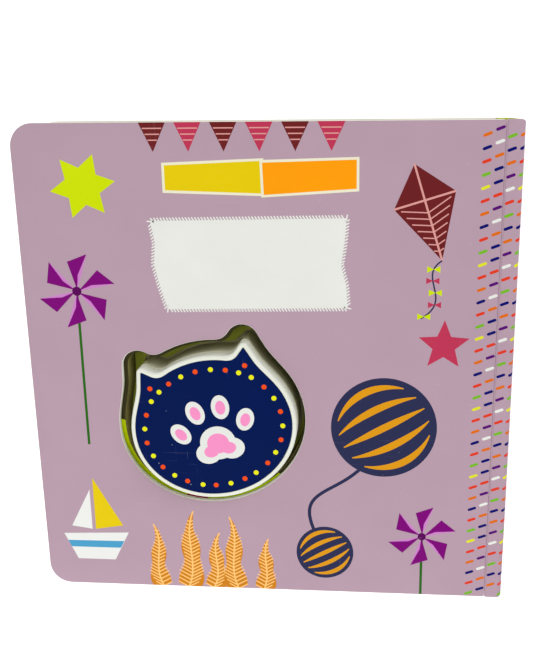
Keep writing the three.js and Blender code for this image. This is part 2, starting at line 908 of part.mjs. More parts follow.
group({
  back_cover: [makeBackCover(), "coverPrint"],
  spacer_frame: [makeSpacerFrame(), "greyBoard"],
  last_leaf: [makeLastLeaf(), "boardWhite"],
  upper_housing: [makeUpperHousing(), "whitePlastic"],
  lower_housing: [makeLowerHousing(), "blackPlastic"],
  ...numbered("return_spring", postPlaces, makeReturnSpring, "springSteel"),
  ...numbered("housing_screw", bossPlaces, makeHousingScrew, "screwSteel"),
  circuit_board: [makeCircuitBoard(), "circuitGreen"],
  chip_blob: [makeChipBlob(), "blackPlastic"],
  rubber_dome: [makeRubberDome(), "silicone"],
  speaker_frame: [makeSpeakerFrame(), "screwSteel"],
  speaker_cone: [makeSpeakerCone(), "speakerPaper"],
  speaker_magnet: [makeSpeakerMagnet(), "magnetGrey"],
  speaker_lead_1: [makeSpeakerLead(-1), "leadBlack"],
  speaker_lead_2: [makeSpeakerLead(1), "leadRed"],
  ...numbered("cell", cellPlaces, makeCell, "cellSteel"),
  contact_top_bridge: [makeContact(cellPlaces[0], cellPlaces[1], topContactLow, false), "contactBrass"],
  contact_top_end: [makeContact(cellPlaces[2], cellPlaces[2], topContactLow, true), "contactBrass"],
  contact_door_bridge: [makeContact(cellPlaces[1], cellPlaces[2], doorContactLow, false), "contactBrass"],
  contact_door_end: [makeContact(cellPlaces[0], cellPlaces[0], doorContactLow, true), "contactBrass"],
  battery_door: [makeBatteryDoor(), "blackPlastic"],
  door_screw: [makeDoorScrew(), "screwSteel"],
});

export default book;
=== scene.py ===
# A square board book with a head-shaped press button, lying on its back cover.
import math

import bmesh
import bpy
from mathutils import Euler, Matrix, Vector
from mathutils.geometry import delaunay_2d_cdt, tessellate_polygon


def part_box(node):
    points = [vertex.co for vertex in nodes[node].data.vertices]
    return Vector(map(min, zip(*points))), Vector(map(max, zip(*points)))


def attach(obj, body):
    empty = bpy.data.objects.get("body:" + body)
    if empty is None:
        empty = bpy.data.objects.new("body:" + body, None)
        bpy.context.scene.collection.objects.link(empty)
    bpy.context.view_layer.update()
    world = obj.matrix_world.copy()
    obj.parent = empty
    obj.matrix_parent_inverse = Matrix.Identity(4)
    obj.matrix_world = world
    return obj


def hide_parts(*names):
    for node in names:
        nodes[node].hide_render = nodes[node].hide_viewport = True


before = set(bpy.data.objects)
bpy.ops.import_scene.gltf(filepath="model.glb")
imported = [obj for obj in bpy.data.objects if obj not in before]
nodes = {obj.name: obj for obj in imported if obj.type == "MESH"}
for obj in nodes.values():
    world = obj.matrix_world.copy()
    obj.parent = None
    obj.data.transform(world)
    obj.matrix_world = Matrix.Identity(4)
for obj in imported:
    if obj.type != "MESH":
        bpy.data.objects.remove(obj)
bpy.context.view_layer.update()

mm = 0.001  # outlines are drawn in millimetres, meshes are in metres


def boxOf(node):
    low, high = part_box(node)
    return low / mm, high / mm


coverLow, coverHigh = boxOf("front_cover")
backLow, backHigh = boxOf("back_cover")
spineLow, spineHigh = boxOf("spine_wrap")
blockLow, blockHigh = boxOf("page_block")
capLow, capHigh = boxOf("button_cap")
deckLow, deckHigh = boxOf("upper_housing")

# The same named sizes as the solids have
head = {
    "x": -20.1,
    "y": -21.2,
    "tilt": math.radians(15),
    "skullHalfWidth": 31.4,
    "skullHalfHeight": 28,
    "ear": [(11.8, 20.2), (26.2, 7), (19.7, 27)],
    "earRound": 2,
    "earFillet": 3,
    "earSpan": math.radians(20),
    "sideSteps": 60,
    "earSteps": 64,
    "crownSteps": 20,
}
print("frame loaded:", len(nodes), "nodes")


# Outlines, all anticlockwise, in millimetres


def skullDistance(x, y):
    a, b = head["skullHalfWidth"], head["skullHalfHeight"]
    reach = math.hypot(x / a, y / b)
    return reach * (reach - 1) / max(math.hypot(x / a**2, y / b**2), 1e-9)


def earDistance(corners, x, y):
    nearest, inside = 1e9, True
    for i, (cornerX, cornerY) in enumerate(corners):
        nextX, nextY = corners[(i + 1) % 3]
        edgeX, edgeY = nextX - cornerX, nextY - cornerY
        reachX, reachY = x - cornerX, y - cornerY
        along = (reachX * edgeX + reachY * edgeY) / (edgeX**2 + edgeY**2)
        held = min(max(along, 0), 1)
        nearest = min(nearest, math.hypot(reachX - held * edgeX, reachY - held * edgeY))
        inside = inside and edgeX * reachY - edgeY * reachX > 0
    return (-nearest if inside else nearest) - head["earRound"]


def headDistance(x, y, reach=0):
    # reach draws the ears' tips out
    tipX, tipY = head["ear"][2]
    corners = head["ear"][:2] + [(tipX + 0.55 * reach, tipY + 0.83 * reach)]
    skull, ear = skullDistance(x, y), earDistance(corners, abs(x), y)
    blend = max(head["earFillet"] - abs(skull - ear), 0) / head["earFillet"]
    return min(skull, ear) - blend**2 * head["earFillet"] / 4


def headAngles():
    ear, span = math.atan2(head["ear"][2][1], head["ear"][2][0]), head["earSpan"]
    spans = [
        (-math.pi / 2, ear - span, head["sideSteps"]),
        (ear - span, ear + span, head["earSteps"]),
        (ear + span, math.pi - ear - span, head["crownSteps"]),
        (math.pi - ear - span, math.pi - ear + span, head["earSteps"]),
        (math.pi - ear + span, 1.5 * math.pi, head["sideSteps"]),
    ]
    return [a + (b - a) * i / n for a, b, n in spans for i in range(n)]


def headPoint(x, y):
    # a point given in the head's own axes, on the page
    c, s = math.cos(head["tilt"]), math.sin(head["tilt"])
    return (head["x"] + x * c - y * s, head["y"] + x * s + y * c)


def headOutline(offset, shift=(0, 0), reach=0):
    points = []
    middleX, middleY = head["x"] + shift[0], head["y"] + shift[1]
    for angle in headAngles():
        inner, outer = 0.0, 2 * head["skullHalfWidth"]
        while outer - inner > 1e-4:
            middle = (inner + outer) / 2
            if headDistance(middle * math.cos(angle), middle * math.sin(angle), reach) < offset:
                inner = middle
            else:
                outer = middle
        turn = angle + head["tilt"]
        points.append((middleX + inner * math.cos(turn), middleY + inner * math.sin(turn)))
    return points


def movedOutline(outline, distance):
    # moved along its own normals, so that points stay side by side
    made = []
    for i, (x, y) in enumerate(outline):
        ax, ay = outline[i - 1]
        bx, by = outline[(i + 1) % len(outline)]
        length = math.hypot(bx - ax, by - ay)
        made.append((x + (by - ay) / length * distance, y - (bx - ax) / length * distance))
    return made


def arc(x, y, radius, start, end, steps):
    turns = [start + (end - start) * i / steps for i in range(steps + 1)]
    return [(x + radius * math.cos(turn), y + radius * math.sin(turn)) for turn in turns]


def roundedRectangle(left, right, bottom, top, leftRadius, rightRadius=None, steps=12):
    rightRadius = leftRadius if rightRadius is None else rightRadius
    q = math.pi / 2
    return (
        arc(right - rightRadius, bottom + rightRadius, rightRadius, -q, 0, steps)
        + arc(right - rightRadius, top - rightRadius, rightRadius, 0, q, steps)
        + arc(left + leftRadius, top - leftRadius, leftRadius, q, 2 * q, steps)
        + arc(left + leftRadius, bottom + leftRadius, leftRadius, 2 * q, 3 * q, steps)
    )


def ellipse(x, y, halfX, halfY, turn=0.0, steps=40):
    c, s = math.cos(turn), math.sin(turn)
    turns = [2 * math.pi * i / steps for i in range(steps)]
    ring = [(halfX * math.cos(a), halfY * math.sin(a)) for a in turns]
    return [(x + u * c - v * s, y + u * s + v * c) for u, v in ring]


def star(x, y, radius, waist, tips, turn):
    return [
        (
            x + (radius if i % 2 == 0 else waist) * math.cos(turn + math.pi * i / tips),
            y + (radius if i % 2 == 0 else waist) * math.sin(turn + math.pi * i / tips),
        )
        for i in range(2 * tips)
    ]


def capsule(x, y, length, thickness, turn, steps=5):
    half, r = length / 2 - thickness / 2, thickness / 2
    q = math.pi / 2
    ends = arc(half, 0, r, -q, q, steps) + arc(-half, 0, r, q, 3 * q, steps)
    c, s = math.cos(turn), math.sin(turn)
    return [(x + u * c - v * s, y + u * s + v * c) for u, v in ends]


def ribbon(path, widths):
    # a band along a path, as wide at each point as the list says
    left, right = [], []
    for i, (x, y) in enumerate(path):
        ax, ay = path[max(i - 1, 0)]
        bx, by = path[min(i + 1, len(path) - 1)]
        length = math.hypot(bx - ax, by - ay)
        nx, ny = -(by - ay) / length, (bx - ax) / length
        left.append((x + nx * widths[i] / 2, y + ny * widths[i] / 2))
        right.append((x - nx * widths[i] / 2, y - ny * widths[i] / 2))
    return right + left[::-1]


def bezier(a, b, c, d, steps=24):
    points = []
    for i in range(steps + 1):
        t = i / steps
        k = ((1 - t) ** 3, 3 * t * (1 - t) ** 2, 3 * t**2 * (1 - t), t**3)
        points.append(tuple(k[0] * a[j] + k[1] * b[j] + k[2] * c[j] + k[3] * d[j] for j in (0, 1)))
    return points


def contains(polygon, x, y):
    inside = False
    for i, (ax, ay) in enumerate(polygon):
        bx, by = polygon[i - 1]
        if (ay > y) != (by > y) and x < ax + (y - ay) / (by - ay) * (bx - ax):
            inside = not inside
    return inside


# Meshes


def finishMesh(name, bm, materials, body, replaced=(), smoothAngle=35):
    bmesh.ops.remove_doubles(bm, verts=bm.verts, dist=1e-7)
    bmesh.ops.recalc_face_normals(bm, faces=bm.faces)
    mesh = bpy.data.meshes.new(name)
    bm.to_mesh(mesh)
    bm.free()
    for material in materials:
        mesh.materials.append(material)
    mesh.shade_smooth()
    mesh.set_sharp_from_angle(angle=math.radians(smoothAngle))
    piece = bpy.data.objects.new(name, mesh)
    bpy.context.scene.collection.objects.link(piece)
    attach(piece, body)
    if replaced:
        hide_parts(*replaced)
    print(name, len(mesh.polygons), "faces")
    return piece


def triangulate(outline, holes, prints):
    # splits a field along every printed shape and says which shape covers each triangle
    points, edges = [], []
    for loop in [outline, *holes, *(points for points, ink in prints)]:
        first = len(points)
        points += [Vector(p) for p in loop]
        edges += [(first + i, first + (i + 1) % len(loop)) for i in range(len(loop))]
    verts, unused, faces = delaunay_2d_cdt(points, edges, [], 0, 1e-5)[:3]
    boxes = []
    for loop, ink in prints:
        xs, ys = [p[0] for p in loop], [p[1] for p in loop]
        boxes.append((min(xs), max(xs), min(ys), max(ys)))
    kept = []
    for face in faces:
        x = sum(verts[i].x for i in face) / 3
        y = sum(verts[i].y for i in face) / 3
        if not contains(outline, x, y) or any(contains(hole, x, y) for hole in holes):
            continue
        found = 0
        for (loop, ink), (x0, x1, y0, y1) in zip(prints, boxes):
            if x0 <= x <= x1 and y0 <= y <= y1 and contains(loop, x, y):
                found = ink
        kept.append((tuple(face), found))
    return verts, kept


def boardPiece(bm, outline, holes, prints, profile, edgeInk, lowerInk, holeInk=None, wrappedFrom=1e9):
    # A flat board. Its edge follows the profile of (outward, height) from the printed face to the plain
    # one. The first ring of the edge, and all of it past wrappedFrom, keeps the print beside it.
    verts, kept = triangulate(outline, holes, prints)
    owner = {}
    for face, ink in kept:
        a, b, c = (verts[i] for i in face)
        turn = face if (b - a).cross(c - a) > 0 else face[::-1]
        for i in range(3):
            owner[(turn[i], turn[(i + 1) % 3])] = ink
    border = [pair for pair in owner if (pair[1], pair[0]) not in owner]
    normals, ofHole = {}, {}
    for a, b in border:
        along = (verts[b] - verts[a]).normalized()
        outward = Vector((along.y, -along.x))
        beyond = (verts[a] + verts[b]) / 2 + outward * 0.02
        ofHole[(a, b)] = any(contains(hole, *beyond) for hole in holes)
        for i in (a, b):
            normals[i] = normals.get(i, Vector((0, 0))) + outward
    used = {i for face, ink in kept for i in face}
    top = {i: bm.verts.new((verts[i].x * mm, verts[i].y * mm, profile[0][1] * mm)) for i in used}
    bottom = {i: bm.verts.new((verts[i].x * mm, verts[i].y * mm, profile[-1][1] * mm)) for i in used}
    rings = [top]
    for outward, z in profile[1:-1]:
        ring = {}
        for i, normal in normals.items():
            place = verts[i] + normal.normalized() * outward
            ring[i] = bm.verts.new((place.x * mm, place.y * mm, z * mm))
        rings.append(ring)
    rings.append(bottom)
    for face, ink in kept:
        bm.faces.new([top[i] for i in face]).material_index = ink
        bm.faces.new([bottom[i] for i in reversed(face)]).material_index = lowerInk
    for level, (high, low) in enumerate(zip(rings, rings[1:])):
        for a, b in border:
            face = bm.faces.new([high[b], high[a], low[a], low[b]])
            if level == 0 or min(verts[a].x, verts[b].x) > wrappedFrom:
                face.material_index = owner[(a, b)]
            elif ofHole[(a, b)] and holeInk is not None:
                face.material_index = holeInk
            else:
                face.material_index = edgeInk


def closeLoop(bm, loop, ink=0):
    for corners in tessellate_polygon([[v.co for v in loop]]):
        bm.faces.new([loop[i] for i in corners]).material_index = ink


def loft(bm, rings, closed=False):
    # rings of (outline, height); a closed loft joins its last ring to its first
    made = [[bm.verts.new((x * mm, y * mm, z * mm)) for x, y in outline] for outline, z in rings]
    count = len(made[0])
    pairs = list(zip(made, made[1:])) + ([(made[-1], made[0])] if closed else [])
    for a, b in pairs:
        for i in range(count):
            j = (i + 1) % count
            bm.faces.new([a[i], a[j], b[j], b[i]])
    if not closed:
        closeLoop(bm, made[0])
        closeLoop(bm, made[-1])


def turned(bm, x, y, profile, sides=48):
    # a turned piece: (radius, height) from the axis, round the outside and back to the axis
    rings = []
    for radius, z in profile:
        if radius <= 0:
            rings.append([bm.verts.new((x * mm, y * mm, z * mm))] * sides)
        else:
            circle = ellipse(x, y, radius, radius, 0, sides)
            rings.append([bm.verts.new((px * mm, py * mm, z * mm)) for px, py in circle])
    for a, b in zip(rings, rings[1:]):
        for i in range(sides):
            j = (i + 1) % sides
            corners = list(dict.fromkeys((a[i], a[j], b[j], b[i])))
            if len(corners) > 2:
                bm.faces.new(corners)


def edgeProfile(top, low, radius, steps=3):
    # (outward, height) round both long edges of a board
    quarter = [math.pi / 2 * i / steps for i in range(steps + 1)]
    upper = [(radius * math.sin(a), top - radius * (1 - math.cos(a))) for a in quarter]
    lower = [(radius * math.cos(a), low + radius * (1 - math.sin(a))) for a in quarter]
    return upper + lower


# Shared effects


def newGroup(name, inputs, outputs):
    tree = bpy.data.node_groups.new(name, "ShaderNodeTree")
    for label, kind, value in inputs:
        tree.interface.new_socket(label, in_out="INPUT", socket_type=kind).default_value = value
    for label, kind in outputs:
        tree.interface.new_socket(label, in_out="OUTPUT", socket_type=kind)
    return tree, tree.nodes.new("NodeGroupInput"), tree.nodes.new("NodeGroupOutput")


def noise(tree, vector, scale, detail=2.0, roughness=0.5):
    node = tree.nodes.new("ShaderNodeTexNoise")
    node.inputs["Scale"].default_value = scale
    node.inputs["Detail"].default_value = detail
    node.inputs["Roughness"].default_value = roughness
    tree.links.new(vector, node.inputs["Vector"])
    return node.outputs["Fac"]


def remap(tree, value, fromLow, fromHigh, toLow, toHigh):
    node = tree.nodes.new("ShaderNodeMapRange")
    limits = {"From Min": fromLow, "From Max": fromHigh, "To Min": toLow, "To Max": toHigh}
    for label, limit in limits.items():
        if isinstance(limit, (int, float)):
            node.inputs[label].default_value = limit
        else:
            tree.links.new(limit, node.inputs[label])
    tree.links.new(value, node.inputs["Value"])
    return node.outputs["Result"]


def maths(tree, operation, a, b):
    node = tree.nodes.new("ShaderNodeMath")
    node.operation = operation
    for socket, value in zip(node.inputs, (a, b)):
        if isinstance(value, (int, float)):
            socket.default_value = value
        else:
            tree.links.new(value, socket)
    return node.outputs[0]


def blendColour(tree, amount, a, b, mode="MIX"):
    node = tree.nodes.new("ShaderNodeMix")
    node.data_type = "RGBA"
    node.blend_type = mode
    for socket, value in ((node.inputs[0], amount), (node.inputs[6], a), (node.inputs[7], b)):
        if isinstance(value, (int, float)):
            socket.default_value = value
        elif isinstance(value, tuple):
            socket.default_value = (*value, 1.0)
        else:
            tree.links.new(value, socket)
    return node.outputs[2]


def stretched(tree, vector, scale, turn=(0, 0, 0)):
    node = tree.nodes.new("ShaderNodeMapping")
    node.inputs["Scale"].default_value = scale
    node.inputs["Rotation"].default_value = turn
    tree.links.new(vector, node.inputs["Vector"])
    return node.outputs["Vector"]


def depthTint(tree, source, colour):
    # carries the colour over to the deep one from the upper height to the lower one; where Deep is darker
    # this is painted shade down in the gaps and the window, and on the last leaf it gives the white cut edge
    # below its print
    split = tree.nodes.new("ShaderNodeSeparateXYZ")
    tree.links.new(source.outputs["Place"], split.inputs[0])
    amount = remap(tree, split.outputs["Z"], source.outputs["Upper"], source.outputs["Lower"], 0, 1)
    return blendColour(tree, amount, colour, source.outputs["Deep"])


surfaceOutputs = [
    ("Color", "NodeSocketColor"),
    ("Roughness", "NodeSocketFloat"),
    ("Height", "NodeSocketFloat"),
]
# Deep is the colour taken on from the Upper height down to the Lower one, in metres of object space: painted
# shade in the button's gap and the window, the white cut edge on the last leaf
depthInputs = [
    ("Deep", "NodeSocketColor", (0.1, 0.1, 0.06, 1)),
    ("Upper", "NodeSocketFloat", -0.9),
    ("Lower", "NodeSocketFloat", -1.0),
]


def makePrintGroup():
    # ink under film: cloudy solid colour, paper tooth, hairline scuffs and dust specks
    inputs = [
        ("Place", "NodeSocketVector", (0, 0, 0)),
        ("Ink", "NodeSocketColor", (0.5, 0.5, 0.5, 1)),
        ("Mottle", "NodeSocketFloat", 0.5),
        ("Scuff", "NodeSocketFloat", 0.5),
    ]
    tree, source, sink = newGroup("laminatedPrint", inputs, surfaceOutputs)
    place, scuff = source.outputs["Place"], source.outputs["Scuff"]
    cloud = remap(tree, noise(tree, place, 45, 3), 0.3, 0.7, 0, 1)
    tooth = noise(tree, place, 1500, 2, 0.6)
    lines = noise(tree, stretched(tree, place, (60, 2600, 60), (0, 0, 0.5)), 1, 1)
    crossed = noise(tree, stretched(tree, place, (2600, 80, 60), (0, 0, -0.35)), 1, 1)
    hairs = [remap(tree, field, 0.72, 0.8, 0, 1) for field in (lines, crossed)]
    scratch = maths(tree, "MAXIMUM", *hairs)
    patch = remap(tree, noise(tree, place, 30, 1), 0.52, 0.64, 0, 1)
    scratch = maths(tree, "MULTIPLY", maths(tree, "MULTIPLY", scratch, patch), scuff)
    dust = tree.nodes.new("ShaderNodeTexVoronoi")
    dust.inputs["Scale"].default_value = 170
    tree.links.new(place, dust.inputs["Vector"])
    speck = maths(tree, "MULTIPLY", remap(tree, dust.outputs["Distance"], 0.05, 0.03, 0, 1), scuff)
    darker = blendColour(tree, 1.0, source.outputs["Ink"], (0.88, 0.88, 0.88), "MULTIPLY")
    shade = maths(tree, "ADD", maths(tree, "MULTIPLY", cloud, 0.6), maths(tree, "MULTIPLY", tooth, 0.5))
    shade = maths(tree, "MULTIPLY", shade, source.outputs["Mottle"])
    colour = blendColour(tree, shade, source.outputs["Ink"], darker)
    colour = blendColour(tree, maths(tree, "MULTIPLY", speck, 0.5), colour, (0.9, 0.9, 0.88))
    colour = blendColour(tree, maths(tree, "MULTIPLY", scratch, 0.22), colour, (0.85, 0.85, 0.88))
    rough = maths(tree, "ADD", remap(tree, cloud, 0, 1, 0.34, 0.42), maths(tree, "MULTIPLY", scratch, 0.2))
    raised, cut = maths(tree, "MULTIPLY", tooth, 0.35), maths(tree, "MULTIPLY", scratch, 0.6)
    height = maths(tree, "SUBTRACT", raised, cut)
    for socket, value in zip(sink.inputs, (colour, rough, height)):
        tree.links.new(value, socket)
    return tree


def makeBoardGroup():
    # cut board: thin pressed layers up its height, loose fibre and faint stains, then the depth colour:
    # painted shade on the window walls, the white cut edge on the last leaf
    inputs = [
        ("Place", "NodeSocketVector", (0, 0, 0)),
        ("Paper", "NodeSocketColor", (0.9, 0.9, 0.88, 1)),
        ("Core", "NodeSocketColor", (0.7, 0.68, 0.62, 1)),
        ("Amount", "NodeSocketFloat", 0.5),
        *depthInputs,
    ]
    tree, source, sink = newGroup("cutBoard", inputs, surfaceOutputs)
    place = source.outputs["Place"]
    layers = noise(tree, stretched(tree, place, (90, 90, 3200)), 1, 2)
    fibre = noise(tree, place, 2400, 3, 0.7)
    stain = remap(tree, noise(tree, place, 60, 2), 0.35, 0.7, 0, 1)
    mask = maths(tree, "ADD", maths(tree, "MULTIPLY", layers, 0.6), maths(tree, "MULTIPLY", stain, 0.5))
    mask = maths(tree, "MULTIPLY", mask, source.outputs["Amount"])
    colour = blendColour(tree, mask, source.outputs["Paper"], source.outputs["Core"])
    rough = remap(tree, fibre, 0, 1, 0.7, 0.9)
    height = maths(tree, "ADD", layers, maths(tree, "MULTIPLY", fibre, 0.5))
    for socket, value in zip(sink.inputs, (depthTint(tree, source, colour), rough, height)):
        tree.links.new(value, socket)
    return tree


def makePlasticGroup():
    # moulded or pressed stock: fine texture, uneven gloss and handling grime, then painted shade that darkens
    # it with depth on the button's cap and collar
    inputs = [
        ("Place", "NodeSocketVector", (0, 0, 0)),
        ("Base", "NodeSocketColor", (0.9, 0.9, 0.86, 1)),
        ("Grime", "NodeSocketColor", (0.5, 0.48, 0.38, 1)),
        ("Dirt", "NodeSocketFloat", 0.3),
        ("Gloss", "NodeSocketFloat", 0.3),
        *depthInputs,
    ]
    tree, source, sink = newGroup("mouldedStock", inputs, surfaceOutputs)
    place = source.outputs["Place"]
    flow = remap(tree, noise(tree, place, 70, 3), 0.35, 0.75, 0, 1)
    grain = noise(tree, place, 3000, 2, 0.6)
    dirt = maths(tree, "MULTIPLY", flow, source.outputs["Dirt"])
    colour = blendColour(tree, dirt, source.outputs["Base"], source.outputs["Grime"])
    rough = maths(tree, "ADD", source.outputs["Gloss"], maths(tree, "MULTIPLY", flow, 0.12))
    for socket, value in zip(sink.inputs, (depthTint(tree, source, colour), rough, grain)):
        tree.links.new(value, socket)
    return tree


effects = {"print": makePrintGroup(), "board": makeBoardGroup(), "plastic": makePlasticGroup()}


def linear(colour):
    parts = [c / 255 for c in colour]
    return tuple(c / 12.92 if c <= 0.04045 else ((c + 0.055) / 1.055) ** 2.4 for c in parts)


def surface(name, effect, colours, values, bump, relief, metallic=0.0, shine=0.5):
    # Object coordinates into a shared effect, and that into the shader; relief is in millimetres
    material = bpy.data.materials.new(name)
    material.use_nodes = True
    tree = material.node_tree
    shader = tree.nodes["Principled BSDF"]
    group = tree.nodes.new("ShaderNodeGroup")
    group.node_tree = effects[effect]
    tree.links.new(tree.nodes.new("ShaderNodeTexCoord").outputs["Object"], group.inputs["Place"])
    for label, colour in colours.items():
        group.inputs[label].default_value = (*linear(colour), 1)
    for label, value in values.items():
        group.inputs[label].default_value = value
    bumps = tree.nodes.new("ShaderNodeBump")
    bumps.inputs["Strength"].default_value = bump
    bumps.inputs["Distance"].default_value = relief * mm
    tree.links.new(group.outputs["Height"], bumps.inputs["Height"])
    tree.links.new(group.outputs["Color"], shader.inputs["Base Color"])
    tree.links.new(group.outputs["Roughness"], shader.inputs["Roughness"])
    tree.links.new(bumps.outputs["Normal"], shader.inputs["Normal"])
    shader.inputs["Metallic"].default_value = metallic
    shader.inputs["Specular IOR Level"].default_value = shine
    return material


def printInk(name, colour, mottle=0.6, scuff=0.2, shine=0.05):
    return surface(name, "print", {"Ink": colour}, {"Mottle": mottle, "Scuff": scuff}, 0.12, 0.05, 0, shine)


def metal(name, colour, gloss):
    colours = {"Base": colour, "Grime": (120, 118, 112)}
    return surface(name, "plastic", colours, {"Dirt": 0.25, "Gloss": gloss}, 0.1, 0.02, 1.0)


def stock(name, colour, grime, gloss, bump=0.25):
    colours, values = {"Base": colour, "Grime": grime}, {"Dirt": 0.3, "Gloss": gloss}
    return surface(name, "plastic", colours, values, bump, 0.05, shine=0.3)


inkColours = {
    "lilac": (183, 155, 170),
    "label": (231, 233, 226),
    "cream": (238, 234, 205),
    "yellow": (230, 202, 8),
    "orange": (255, 158, 8),
    "maroon": (108, 32, 34),
    "rose": (222, 156, 150),
    "crimson": (190, 55, 86),
    "lime": (206, 226, 0),
    "purple": (124, 2, 118),
    "violet": (206, 130, 202),
    "plum": (88, 0, 86),
    "stick": (40, 100, 22),
    "navy": (42, 46, 80),
    "amber": (222, 152, 22),
    "white": (236, 237, 233),
    "blue": (76, 160, 202),
    "reedAmber": (206, 128, 24),
    "reedPale": (255, 198, 118),
    "red": (224, 60, 34),
    "green": (118, 184, 40),
    "dashNavy": (6, 14, 106),
    "dashPurple": (88, 10, 112),
    "dashOrange": (222, 108, 22),
    "dashYellow": (226, 226, 38),
    # painted shade round the leaves' window
    "umberShade": (66, 62, 34),
}
inks = {name: printInk("ink_" + name, colour) for name, colour in inkColours.items()}
inkOrder = list(inks)
shadowTint = {"window": (88, 82, 44), "collar": (196, 190, 150), "wall": (212, 207, 170)}
cutWhite = surface(
    "cutBoardWhite",
    "board",
    {"Paper": (240, 240, 228), "Core": (200, 194, 172)},
    {"Amount": 0.4},
    bump=0.5,
    relief=0.08,
    shine=0.2,
)
cutGrey = surface(
    "cutBoardGrey",
    "board",
    {"Paper": (190, 184, 170), "Core": (150, 143, 128)},
    {"Amount": 0.7},
    bump=0.6,
    relief=0.1,
    shine=0.2,
)
# painted shade: the leaves' white window walls are coloured khaki and darken to near black with depth
windowShadedBoard = surface(
    "windowShadedBoard",
    "board",
    {"Paper": (176, 170, 104), "Core": (112, 104, 54), "Deep": shadowTint["window"]},
    {"Amount": 0.8, "Upper": 0.0215, "Lower": 0.0125},
    bump=0.6,
    relief=0.1,
    shine=0.2,
)
# the last leaf's lime print, darkened to olive as painted shade; just below its printed face the colour turns
# to its white cut edge
lastLeafShadedPrint = surface(
    "lastLeafShadedPrint",
    "board",
    {"Paper": (168, 178, 62), "Core": (156, 166, 56), "Deep": (226, 224, 208)},
    {"Amount": 0.3, "Upper": 0.01279, "Lower": 0.01274},
    bump=0.2,
    relief=0.05,
    shine=0.1,
)
# painted shade: the cap's side wall darkens to an olive cream from the Upper height down to the Lower one,
# into the gap round the button
capPlastic = surface(
    "capPlastic",
    "plastic",
    {"Base": (229, 232, 220), "Grime": (206, 206, 184), "Deep": shadowTint["wall"]},
    {"Dirt": 0.35, "Gloss": 0.34, "Upper": 0.0245, "Lower": 0.0200},
    bump=0.08,
    relief=0.02,
    shine=0.3,
)
# painted shade: the collar darkens towards its foot, from the Upper height down to the Lower one
collarPlastic = surface(
    "collarPlastic",
    "plastic",
    {"Base": (226, 224, 200), "Grime": (196, 190, 152), "Deep": shadowTint["collar"]},
    {"Dirt": 0.4, "Gloss": 0.4, "Upper": 0.0230, "Lower": 0.0120},
    bump=0.08,
    relief=0.02,
    shine=0.3,
)
blackPlastic = stock("blackPlastic", (38, 40, 44), (70, 70, 70), 0.42)
print("materials", len(bpy.data.materials))


# Cover print. Places are in millimetres from the cover's lower left corner.


def inkIndex(name):
    return inkOrder.index(name)


def onCover(points, name):
    return ([(x + coverLow.x, y + coverLow.y) for x, y in points], inkIndex(name))


banners = {"outline": 0.9}


def banner(corners, name):
    middleX = sum(x for x, y in corners) / 4
    middleY = sum(y for x, y in corners) / 4
    grow = banners["outline"]
    outer = [(x + math.copysign(grow, x - middleX), y + math.copysign(grow, y - middleY)) for x, y in corners]
    return [onCover(outer, "cream"), onCover(corners, name)]


pennants = {
    "line": 0.42,
    "taper": 0.9,
    "count": 6,
    "first": 51,
    "across": 12.4,
    "width": 9.5,
    "length": 10,
    "edge": 179.8,
}


def pennant(x, y, width, length, name):
    # a small cloth pennant under the head edge, with light cross lines
    made = [onCover([(x - width / 2, y), (x, y - length), (x + width / 2, y)], name)]
    for i in (1, 2, 3):
        drop = length * i / 5
        half = width / 2 * (1 - drop / length) * pennants["taper"]
        line = [(x - half, y - drop), (x + half, y - drop)]
        made.append(onCover(ribbon(line, [pennants["line"]] * 2), "rose"))
    return made


kites = {"spar": 0.7, "line": 0.42, "lines": 7, "tail": 0.55, "bow": 2.3, "bows": 5}


def kite(x, y, half, up, down, turn):
    # a flying kite: two spars, light lines that run from the upright one, and a tail with bows
    c, s = math.cos(turn), math.sin(turn)

    def place(u, v):
        return (x + u * c - v * s, y + u * s + v * c)

    made = [onCover([place(0, -down), place(half, 0), place(0, up), place(-half, 0)], "maroon")]
    for i in range(kites["lines"]):
        v = -down * (i + 0.5) / (kites["lines"] + 1)
        edge = half * (1 + v / down) * 0.86
        for side in (-1, 1):
            line = [place(0, v - edge * 0.35), place(side * edge, v)]
            made.append(onCover(ribbon(line, [kites["line"]] * 2), "rose"))
    for line in ([place(0, -down), place(0, up)], [place(-half, 0), place(half, 0)]):
        made.append(onCover(ribbon(line, [kites["spar"]] * 2), "rose"))
    foot = place(0, -down)
    reach = [(foot[0] + dx, foot[1] + dy) for dx, dy in ((0, 0), (-9, -6), (5, -14), (-7, -21))]
    tail = bezier(*reach, 30)
    made.append(onCover(ribbon(tail, [kites["tail"]] * len(tail)), "navy"))
    for i in range(kites["bows"]):
        bx, by = tail[5 + 6 * i]
        size = kites["bow"]
        shape = [(bx - size, by - size / 2), (bx, by), (bx + size, by - size / 2), (bx + size, by + size / 2)]
        shape += [(bx, by + 0.1), (bx - size, by + size / 2)]
        made.append(onCover(shape, ("lime", "crimson")[i % 2]))
    return made


pinwheels = {"blades": 6, "stick": 1.0, "hub": 0.12}


def pinwheel(x, y, radius, foot):
    # a paper windmill on a stick; each blade shows a folded half
    half = pinwheels["stick"] / 2
    made = [onCover([(x - half, foot), (x + half, foot), (x + half, y), (x - half, y)], "stick")]
    step = 2 * math.pi / pinwheels["blades"]

    def at(reach, turn):
        return (x + radius * reach * math.cos(turn), y + radius * reach * math.sin(turn))

    for i in range(pinwheels["blades"]):
        turn = step * i + 0.2
        made.append(onCover([at(0.04, turn), at(1, turn), at(0.78, turn + step * 0.55)], "purple"))
        made.append(onCover([at(0.04, turn), at(1, turn), at(0.42, turn + step * 0.18)], "violet"))
    hub = radius * pinwheels["hub"]
    return made + [onCover(ellipse(x, y, hub, hub, 0, 28), "plum")]


reeds = {
    "linePitch": 1.5,
    "line": 0.55,
    "midrib": 0.6,
    "blades": [(46, 27, -3, 8), (56, 33, 3, 10), (66, 24, 3, 8), (76, 31, -3, 9), (86, 22, 2, 8)],
}


